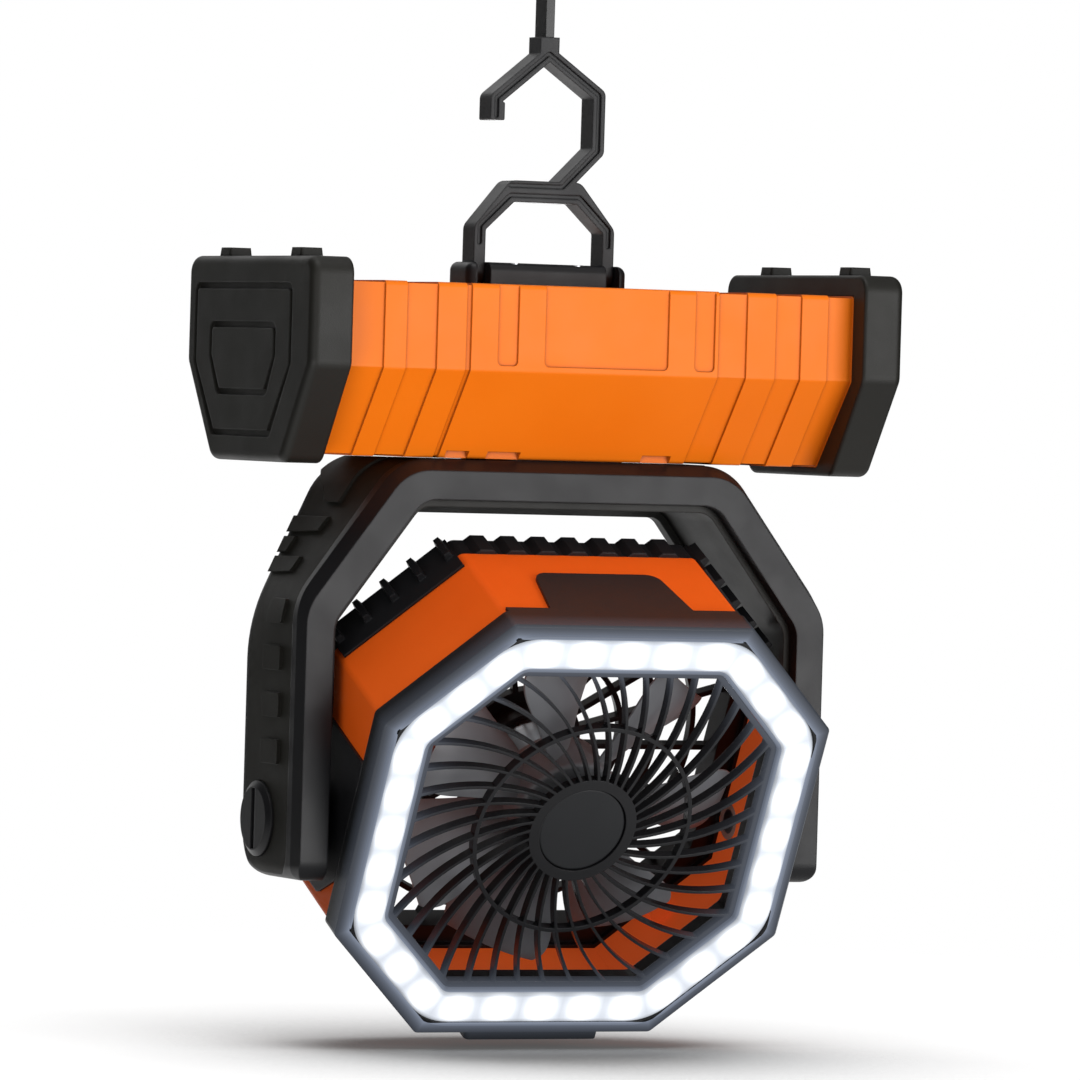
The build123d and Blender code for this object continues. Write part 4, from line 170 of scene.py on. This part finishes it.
def math_node(tree, operation, first, second=None):
    made = tree.nodes.new("ShaderNodeMath")
    made.operation = operation
    for index, value in enumerate((first, second)):
        if value is None:
            continue
        if isinstance(value, float):
            made.inputs[index].default_value = value
        else:
            tree.links.new(value, made.inputs[index])
    return made.outputs[0]


def product(tree, first, *others):
    for other in others:
        first = math_node(tree, "MULTIPLY", first, other)
    return first


def vector_node(tree, operation, first, second=None):
    made = tree.nodes.new("ShaderNodeVectorMath")
    made.operation = operation
    tree.links.new(first, made.inputs[0])
    if second is not None:
        made.inputs[1].default_value = second
    return made


def map_range(tree, value, span, low=0.0, high=1.0):
    """A value that runs from low to high while another runs over its span."""
    made = tree.nodes.new("ShaderNodeMapRange")
    made.inputs["From Min"].default_value = span[0]
    made.inputs["From Max"].default_value = span[1]
    made.inputs["To Min"].default_value = low
    made.inputs["To Max"].default_value = high
    tree.links.new(value, made.inputs["Value"])
    return made.outputs["Result"]


def ramp(tree, value, span, dark, light):
    """A colour that runs from dark to light while a value runs over its span."""
    made = tree.nodes.new("ShaderNodeValToRGB")
    start, end = made.color_ramp.elements
    start.position = span[0]
    start.color = linear(*dark)
    end.position = span[1]
    end.color = linear(*light)
    tree.links.new(value, made.inputs["Fac"])
    return made.outputs["Color"]


def noise(tree, scale, detail=3.0, roughness=0.5):
    made = tree.nodes.new("ShaderNodeTexNoise")
    made.inputs["Scale"].default_value = scale
    made.inputs["Detail"].default_value = detail
    made.inputs["Roughness"].default_value = roughness
    tree.links.new(own_place(tree), made.inputs["Vector"])
    return made.outputs["Fac"]


def spread(tree, scale, values):
    """A value that varies with a noise."""
    return map_range(tree, noise(tree, scale), NOISE_SPAN, *values)


def tint(tree, scale, dark, light):
    """A colour that varies with a noise."""
    return ramp(tree, noise(tree, scale), TINT_SPAN, dark, light)


def attribute(tree, name):
    made = tree.nodes.new("ShaderNodeAttribute")
    made.attribute_name = name
    return made.outputs["Fac"]


def open_share(tree, reach, samples):
    """How much of a point's surroundings within reach is open, from 0 to 1."""
    made = tree.nodes.new("ShaderNodeAmbientOcclusion")
    made.samples = samples
    made.inputs["Distance"].default_value = reach
    return made.outputs["AO"]


def round_edges(tree, radius):
    made = tree.nodes.new("ShaderNodeBevel")
    made.samples = BEVEL_SAMPLES
    made.inputs["Radius"].default_value = radius
    return made.outputs["Normal"]


def grain(tree, shader, scale, strength, edge):
    """Fine moulded texture over softly rounded edges."""
    bump = tree.nodes.new("ShaderNodeBump")
    bump.inputs["Strength"].default_value = strength
    bump.inputs["Distance"].default_value = GRAIN_DEPTH
    tree.links.new(noise(tree, scale, GRAIN_DETAIL, GRAIN_ROUGHNESS), bump.inputs["Height"])
    tree.links.new(round_edges(tree, edge), bump.inputs["Normal"])
    tree.links.new(bump.outputs["Normal"], shader.inputs["Normal"])


def painted_crease_shade(tree, colour, depth):
    """Painted shade: the colour, darker by depth where faces meet inward."""
    made = vector_node(tree, "SCALE", colour)
    level = map_range(tree, open_share(tree, CREASE_SHADE_REACH, CREASE_SHADE_SAMPLES), CREASE_SHADE_SPAN, 1.0 - depth)
    tree.links.new(level, made.inputs["Scale"])
    return made.outputs["Vector"]


def head_value(tree, direction):
    """How far a point lies from the fan's centre in one of the head's directions."""
    offset = vector_node(tree, "SUBTRACT", own_place(tree), FAN_CENTRE)
    return vector_node(tree, "DOT_PRODUCT", offset.outputs["Vector"], direction).outputs["Value"]


def from_ring(tree):
    """Distance outward from the ring's outline, over the octagon's eight sides."""
    across = math_node(tree, "ABSOLUTE", head_value(tree, RIGHT))
    up = math_node(tree, "ABSOLUTE", head_value(tree, UP))
    beside = math_node(tree, "SUBTRACT", across, RING_HALF[0])
    above = math_node(tree, "SUBTRACT", up, RING_HALF[1])
    past_slant = math_node(tree, "SUBTRACT", math_node(tree, "ADD", across, up), RING_REACH)
    slant = product(tree, past_slant, math.sqrt(0.5))
    return math_node(tree, "MAXIMUM", math_node(tree, "MAXIMUM", beside, above), slant)


# ---------------------------------------------------------------- kinds of material
# Patches vary the tone, gloss varies the roughness and grain is the fine texture, all in waves per metre.
PLASTIC_PATCHES = 18.0
PLASTIC_GLOSS = 54.0
METAL_PATCHES = 60.0
METAL_GLOSS = 140.0
METAL_GRAIN = 900.0
METAL_BUMP = 0.15
METAL_EDGE = 0.0002
GLOW_PATCHES = 40.0
GLOW_GRAIN = 1500.0
GLOW_BUMP = 0.08
GLOW_EDGE = 0.0006
GLOW_ROUGHNESS = 0.35
PAINTED_HALO_COLOUR = (214, 228, 255)
HALO_DEPTH = 0.009                  # behind the bezel's face, where the painted halo ends
# Colour of the painted light inside the head's shell
PAINTED_SHELL_LIGHT_COLOUR = (255, 112, 52)
LENS_PATCHES = 60.0
LENS_GRAIN = 1800.0
LENS_BUMP = 0.1
LENS_EDGE = 0.0003
LENS_ROUGHNESS = 0.3
LAMP_SPAN = (0.0, 0.6)              # of nearness to an LED, from cool to white
LAMP_LEVEL = (0.72, 2.2)            # between the LEDs and over them
DIM_LEVEL = 0.4                     # along the lens's edges


def plastic(name, dark, light, rough, scale=2600.0, strength=0.25, edge=0.0005, specular=0.3, crease_shade=0.0):
    made, tree, shader = new_material(name)
    shader.inputs["Specular IOR Level"].default_value = specular
    colour = tint(tree, PLASTIC_PATCHES, dark, light)
    # painted shade where faces meet inward
    if crease_shade > 0.0:
        colour = painted_crease_shade(tree, colour, crease_shade)
    tree.links.new(colour, shader.inputs["Base Color"])
    tree.links.new(spread(tree, PLASTIC_GLOSS, rough), shader.inputs["Roughness"])
    grain(tree, shader, scale, strength, edge)
    return made


def metal(name, dark, light, rough):
    made, tree, shader = new_material(name)
    shader.inputs["Metallic"].default_value = 1.0
    tree.links.new(tint(tree, METAL_PATCHES, dark, light), shader.inputs["Base Color"])
    tree.links.new(spread(tree, METAL_GLOSS, rough), shader.inputs["Roughness"])
    grain(tree, shader, METAL_GRAIN, METAL_BUMP, METAL_EDGE)
    return made


def glow(name, dark, light, strength):
    made, tree, shader = new_material(name)
    shader.inputs["Roughness"].default_value = GLOW_ROUGHNESS
    colour = tint(tree, GLOW_PATCHES, dark, light)
    tree.links.new(colour, shader.inputs["Base Color"])
    tree.links.new(colour, shader.inputs["Emission Color"])
    shader.inputs["Emission Strength"].default_value = strength
    grain(tree, shader, GLOW_GRAIN, GLOW_BUMP, GLOW_EDGE)
    return made


def painted_ring_halo(made, strength, reach):
    """Painted light: a glow, set as emission, over the face beside the ring, where the lens would spread
    the ring's light.
    """
    tree, shader = tree_and_shader(made)
    outward = from_ring(tree)
    inward = math_node(tree, "SUBTRACT", product(tree, outward, -1.0), RING_WIDTH)
    away = math_node(tree, "MAXIMUM", outward, inward)
    beside = math_node(tree, "GREATER_THAN", away, -LENS_FIT)
    fall = math_node(tree, "EXPONENT", math_node(tree, "DIVIDE", away, -reach))
    front = map_range(tree, head_value(tree, AHEAD), (FACE - HALO_DEPTH, FACE))
    tree.links.new(product(tree, beside, fall, front, strength), shader.inputs["Emission Strength"])
    shader.inputs["Emission Color"].default_value = linear(*PAINTED_HALO_COLOUR)


def painted_shell_light(made, strength):
    """Painted light: emission on the inside of the shell's walls, for the light that the ring sends back
    into the shell.
    """
    tree, shader = tree_and_shader(made)
    inside = math_node(tree, "LESS_THAN", from_ring(tree), SHELL_MIDDLE)
    tree.links.new(product(tree, inside, strength), shader.inputs["Emission Strength"])
    shader.inputs["Emission Color"].default_value = linear(*PAINTED_SHELL_LIGHT_COLOUR)


def lens_material():
    """Lens over the LEDs: white over each of them, cooler between, dimmer along its edges."""
    made, tree, shader = new_material("ring_lens")
    shader.inputs["Roughness"].default_value = LENS_ROUGHNESS
    body = tint(tree, LENS_PATCHES, (120, 126, 134), (128, 134, 142))
    tree.links.new(body, shader.inputs["Base Color"])
    lamp = attribute(tree, "lamp")
    light = ramp(tree, lamp, LAMP_SPAN, (226, 232, 242), (250, 252, 255))
    tree.links.new(light, shader.inputs["Emission Color"])
    level = map_range(tree, lamp, (0.0, 1.0), *LAMP_LEVEL)
    dim = map_range(tree, attribute(tree, "edge"), (0.0, 1.0), 1.0, DIM_LEVEL)
    tree.links.new(product(tree, level, dim), shader.inputs["Emission Strength"])
    grain(tree, shader, LENS_GRAIN, LENS_BUMP, LENS_EDGE)
    return made


# ---------------------------------------------------------------- materials
# Dark and light tone in display values, then the least and most roughness.
BLACK_SPECULAR = 0.22
SOFT_EDGE = 0.0009

# The tube's shell carries painted shade where its faces meet inward
ORANGE = plastic(
    "orange_shell", (243, 118, 14), (247, 123, 18), (0.38, 0.46),
    strength=0.12, specular=0.18, crease_shade=0.5,
)
ORANGE_HEAD = plastic(
    "orange_head", (234, 93, 20), (240, 99, 24), (0.42, 0.5),
    strength=0.12, specular=0.12,
)
BLACK = plastic(
    "black_frame", (22, 22, 24), (26, 26, 28), (0.32, 0.42),
    edge=SOFT_EDGE, specular=BLACK_SPECULAR,
)
BLACK_FINE = plastic("black_fine", (34, 35, 37), (39, 40, 42), (0.3, 0.38), specular=0.25)
BLACK_LIT = plastic("black_bezel", (27, 28, 30), (31, 32, 34), (0.3, 0.38), specular=BLACK_SPECULAR)
GRILLE = plastic("black_grille", (28, 28, 30), (33, 33, 35), (0.18, 0.24), specular=BLACK_SPECULAR)
RUBBER = plastic(
    "black_rubber", (22, 21, 18), (26, 25, 21), (0.42, 0.5),
    strength=0.35, edge=SOFT_EDGE, specular=BLACK_SPECULAR,
)
TREAD = plastic("tread_rubber", (24, 23, 19), (28, 27, 23), (0.5, 0.6), strength=0.35, specular=0.15)
GRAY = plastic("impeller_gray", (130, 131, 135), (142, 143, 147), (0.36, 0.46))
CREAM = plastic("acetal", (205, 203, 196), (216, 214, 208), (0.35, 0.45))
BOARD = plastic("circuit_board", (20, 74, 48), (26, 86, 56), (0.3, 0.45), scale=1200.0)
WRAP = plastic("cell_wrap", (38, 92, 128), (46, 104, 142), (0.25, 0.35))
FERRITE = plastic("ferrite", (44, 44, 46), (58, 58, 60), (0.5, 0.65))
STEEL = metal("zinc_steel", (150, 152, 156), (178, 180, 184), (0.25, 0.38))
STEM = plastic("black_steel", (14, 14, 15), (19, 19, 20), (0.24, 0.32), strength=0.1)
LIGHT = glow("ring_light", (226, 240, 248), (236, 246, 252), 0.9)
CHIP = glow("led_chip", (255, 250, 230), (255, 255, 250), 1.2)
LENS = lens_material()

# Painted light inside the head's shell
painted_shell_light(ORANGE_HEAD, 0.2)
# Painted halo of the ring's light on the bezel, its rim and the grille
painted_ring_halo(BLACK_LIT, 0.32, 0.003)
painted_ring_halo(GRILLE, 0.16, 0.006)

PAINT = {
    ORANGE: ("battery_tube",),
    ORANGE_HEAD: ("head_shell",),
    BLACK: (
        "bracket_frame", "hook", "hook_plate", "rear_grille", "side_cover_left", "side_cover_right",
        "control_panel", "cell_holder", "motor_mount", "pivot_cap_left", "pivot_cap_right",
    ),
    BLACK_FINE: ("grille_hub_cap", "fan_button", "light_button"),
    BLACK_LIT: ("front_bezel",),
    GRILLE: ("front_grille",),
    RUBBER: (
        "end_cap_left", "end_cap_right", "bracket_liner", "bracket_seat", "foot_front_left",
        "foot_front_right", "foot_rear_left", "foot_rear_right",
    ),
    TREAD: ("bracket_tread_left", "bracket_tread_right"),
    GRAY: ("impeller",),
    CREAM: ("friction_washer_left", "friction_washer_right", "pivot_bushing_left", "pivot_bushing_right"),
    BOARD: ("main_board", "led_board"),
    WRAP: ("battery_cells",),
    FERRITE: ("motor_magnets", "motor_armature"),
    STEEL: (
        "hook_pin", "hook_plate_screws", "bracket_screws", "head_screws", "motor_screws", "pivot_bolt_left",
        "pivot_bolt_right", "rotor_shaft", "impeller_nut", "usb_c_port", "usb_a_port", "motor_can",
        "motor_bearing_front", "motor_bearing_rear", "button_switches", "cell_contacts",
    ),
    STEM: ("hanger_stem",),
    LIGHT: ("light_diffuser",),
    CHIP: ("led_chips", "charge_lights"),
}
for paint, names in PAINT.items():
    for name in names:
        slots = frame["nodes"][name].data.materials
        if len(slots) == 0:
            slots.append(paint)
        for index in range(len(slots)):
            slots[index] = paint


# ---------------------------------------------------------------- ring light
LENS_TOP = FACE + 0.001
LENS_THICKNESS = 0.005
LENS_BEVEL = 0.0008
LENS_CORNERS = (0.024, 0.009)       # outside and inside
DIM_SHARE = 0.14                    # of the lens's width, along each edge
RIM_WIDTH = 0.0014
RIM_DEPTH = 0.0016
RIM_TOP = LENS_TOP + 0.0002
RIM_ROUND = (RIM_WIDTH / 4.0, 0.0003)       # across and down
LED_PITCH = 0.019
LED_SPREAD = 0.0042                 # how far an LED's bright spot reaches through the lens
SIDES = 8
ARC_STEPS = 8
SIDE_STEPS = 44
TOP_STEPS = 10


def rounded_octagon(grow, radius):
    """Points round an octagon with rounded corners, as many on every arc and side."""
    corners = [Vector(corner) for corner in octagon(grow)]
    cut = radius * math.tan(math.pi / SIDES)
    points = []
    for index, corner in enumerate(corners):
        after = corners[(index + 1) % SIDES]
        leaving = (after - corner).normalized()
        arriving = (corner - corners[index - 1]).normalized()
        start = corner - arriving * cut
        centre = start + Vector((-arriving.y, arriving.x)) * radius
        for step in range(ARC_STEPS):
            turn = Matrix.Rotation(math.tau / SIDES * step / ARC_STEPS, 2)
            points.append(centre + turn @ (start - centre))
        side = after - corner - 2.0 * leaving * cut
        points += [corner + leaving * cut + side * step / SIDE_STEPS for step in range(SIDE_STEPS)]
    return points


def led_places():
    """The LEDs' places along the middle of the ring."""
    corners = [Vector(corner) for corner in octagon(-RING_WIDTH / 2)]
    places = []
    for index, start in enumerate(corners):
        side = corners[(index + 1) % SIDES] - start
        count = max(1, round(side.length / LED_PITCH))
        places += [start + side * (n + 0.5) / count for n in range(count)]
    return places


def rows_between(start, end, profile):
    """Rows of places between two outlines, with the share of the way across and how far ahead each is."""
    for share, ahead in profile:
        for first, last in zip(start, end):
            yield share, first.lerp(last, share), ahead


def ride_head(name, points, around, paint):
    """Closed band round the head's axis, of rows of as many points each."""
    rows = len(points) // around
    faces = []
    for row in range(rows):
        here, below = row * around, (row + 1) % rows * around
        for index in range(around):
            beside = (index + 1) % around
            faces.append((here + index, here + beside, below + beside, below + index))
    made = mesh_object(name, points, faces, paint)
    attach(made, "head")
    return made


def ring_rim():
    """Black rim that rounds off the ring's corners."""
    inside = rounded_octagon(-LENS_FIT, LENS_CORNERS[0])
    outside = rounded_octagon(RIM_WIDTH, LENS_CORNERS[0] + RIM_WIDTH)
    rounded = RIM_ROUND[0] / (RIM_WIDTH + LENS_FIT)
    profile = [
        (0.0, RIM_TOP - RIM_DEPTH),
        (0.0, RIM_TOP - RIM_ROUND[1]),
        (rounded, RIM_TOP),
        (1.0 - rounded, RIM_TOP),
        (1.0, RIM_TOP - RIM_ROUND[1]),
        (1.0, RIM_TOP - RIM_DEPTH),
    ]
    rows = rows_between(inside, outside, profile)
    points = [head_point(place.x, place.y, ahead) for _, place, ahead in rows]
    ride_head("ring_rim", points, len(inside), BLACK_LIT)


def ring_lens():
    """Lens of the ring light, with how near each point is to an LED and to an edge."""
    outside = rounded_octagon(-LENS_FIT, LENS_CORNERS[0])
    inside = rounded_octagon(LENS_FIT - RING_WIDTH, LENS_CORNERS[1])
    leds = led_places()
    bevel = LENS_BEVEL / (RING_WIDTH - 2 * LENS_FIT)
    profile = [(0.0, LENS_TOP - LENS_THICKNESS), (0.0, LENS_TOP - LENS_BEVEL)]
    profile += [(bevel + (1.0 - 2.0 * bevel) * step / TOP_STEPS, LENS_TOP) for step in range(TOP_STEPS + 1)]
    profile += [(1.0, LENS_TOP - LENS_BEVEL), (1.0, LENS_TOP - LENS_THICKNESS)]
    points, lamp, edge = [], [], []
    for share, place, ahead in rows_between(outside, inside, profile):
        points.append(head_point(place.x, place.y, ahead))
        nearest = min((place - led).length for led in leds)
        lamp.append(math.exp(-0.5 * (nearest / LED_SPREAD) ** 2))
        edge.append(max(0.0, 1.0 - min(share, 1.0 - share) / DIM_SHARE))
    made = ride_head("ring_lens", points, len(outside), LENS)
    for name, values in (("lamp", lamp), ("edge", edge)):
        made.data.attributes.new(name, "FLOAT", "POINT").data.foreach_set("value", values)
    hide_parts("light_diffuser")


ring_rim()
ring_lens()


# ---------------------------------------------------------------- studio
LIGHT_ALL_ROUND = 0.29
FLOOR_HALF = 0.75
FLOOR_CLEAR = 0.004                 # below the object
FLOOR_GRAY = (0.3, 0.3, 0.3, 1.0)
FLOOR_FADE = (0.3, FLOOR_HALF - 0.05)       # from the middle, where the floor gives way to the background
# Painted shadow under the object: the floor's lift dims where its surroundings are closed off
SHADOW_REACH = 0.5
SHADOW_SAMPLES = 16
SHADOW_SPAN = (0.5, 0.9)            # of the open share
SHADOW_LEVEL = (0.05, 0.9)
FLAG_ASIDE = 1.0
FLAG_FRONT = -0.8
FLAG_BACK = 4.0
FLAG_HALF_HEIGHT = 2.0
FLAG_GLOW = 0.1
LIT_MIDDLE = Vector((0.0, 0.0, -0.22))


def studio_ray(tree):
    """1 for the rays that show the background, 0 for those that light the object."""
    path = tree.nodes.new("ShaderNodeLightPath")
    either = math_node(tree, "MAXIMUM", path.outputs["Is Camera Ray"], path.outputs["Is Glossy Ray"])
    return math_node(tree, "MAXIMUM", either, path.outputs["Is Transmission Ray"])


def studio_world():
    """White background, and a weaker light all round the object."""
    world = bpy.data.worlds.new("studio")
    bpy.context.scene.world = world
    world.use_nodes = True
    tree = world.node_tree
    background = tree.nodes["Background"]
    background.inputs["Color"].default_value = WHITE
    level = map_range(tree, studio_ray(tree), (0.0, 1.0), LIGHT_ALL_ROUND, 1.0)
    tree.links.new(level, background.inputs["Strength"])


def floor_material():
    """White to the camera, darker where the object covers it: real shadow in the diffuse part, painted
    shadow where ambient occlusion dims the lift, and clear far from the object.
    """
    made, tree, out = bare_material("floor")
    diffuse = tree.nodes.new("ShaderNodeBsdfDiffuse")
    diffuse.inputs["Color"].default_value = FLOOR_GRAY
    lift = tree.nodes.new("ShaderNodeEmission")
    painted_shadow = map_range(tree, open_share(tree, SHADOW_REACH, SHADOW_SAMPLES), SHADOW_SPAN, *SHADOW_LEVEL)
    tree.links.new(product(tree, painted_shadow, studio_ray(tree)), lift.inputs["Strength"])
    both = tree.nodes.new("ShaderNodeAddShader")
    tree.links.new(diffuse.outputs["BSDF"], both.inputs[0])
    tree.links.new(lift.outputs["Emission"], both.inputs[1])
    flat = vector_node(tree, "MULTIPLY", own_place(tree), (1.0, 1.0, 0.0))
    away = vector_node(tree, "LENGTH", flat.outputs["Vector"])
    clear = tree.nodes.new("ShaderNodeBsdfTransparent")
    shown = tree.nodes.new("ShaderNodeMixShader")
    tree.links.new(map_range(tree, away.outputs["Value"], FLOOR_FADE), shown.inputs["Fac"])
    tree.links.new(both.outputs["Shader"], shown.inputs[1])
    tree.links.new(clear.outputs["BSDF"], shown.inputs[2])
    tree.links.new(shown.outputs["Shader"], out.inputs["Surface"])
    return made


def studio_floor():
    floor_z = cad_box[0][2] - FLOOR_CLEAR
    corners = [(x * FLOOR_HALF, y * FLOOR_HALF, floor_z) for x, y in ((-1, -1), (1, -1), (1, 1), (-1, 1))]
    floor = mesh_object("floor", corners, [(0, 1, 2, 3)], floor_material())


def flag(name, x):
    """Dark studio card beside the object, there only for reflections, so that black sides stay black."""
    paint, tree, shader = new_material(name)
    shader.inputs["Base Color"].default_value = (0.0, 0.0, 0.0, 1.0)
    shader.inputs["Specular IOR Level"].default_value = 0.0
    shader.inputs["Emission Color"].default_value = WHITE
    shader.inputs["Emission Strength"].default_value = FLAG_GLOW
    corners = [
        (x, FLAG_FRONT, -FLAG_HALF_HEIGHT),
        (x, FLAG_BACK, -FLAG_HALF_HEIGHT),
        (x, FLAG_BACK, FLAG_HALF_HEIGHT),
        (x, FLAG_FRONT, FLAG_HALF_HEIGHT),
    ]
    made = mesh_object(name, corners, [(0, 1, 2, 3)], paint)
    made.visible_camera = False
    made.visible_diffuse = False
    made.visible_transmission = False
    made.visible_volume_scatter = False
    made.visible_shadow = False


def softbox(name, at, size, power):
    """Soft lamp that faces the object's middle."""
    data = bpy.data.lights.new(name, "AREA")
    data.shape = "RECTANGLE"
    data.size, data.size_y = size
    data.energy = power
    made = bpy.data.objects.new(name, data)
    made.location = at
    made.rotation_euler = (LIT_MIDDLE - Vector(at)).to_track_quat("-Z", "Y").to_euler()
    put_in_scene(made)


studio_world()
studio_floor()
flag("flag_left", -FLAG_ASIDE)
flag("flag_right", FLAG_ASIDE)
softbox("front_box", (1.0, -2.1, -0.4), (1.4, 1.5), 37.0)
softbox("top_box", (-0.3, -0.6, 1.6), (1.5, 1.2), 15.0)
softbox("fill_box", (-1.5, -1.2, -1.1), (1.0, 1.0), 23.0)
softbox("back_box", (1.3, 1.8, -0.2), (1.2, 1.2), 20.0)
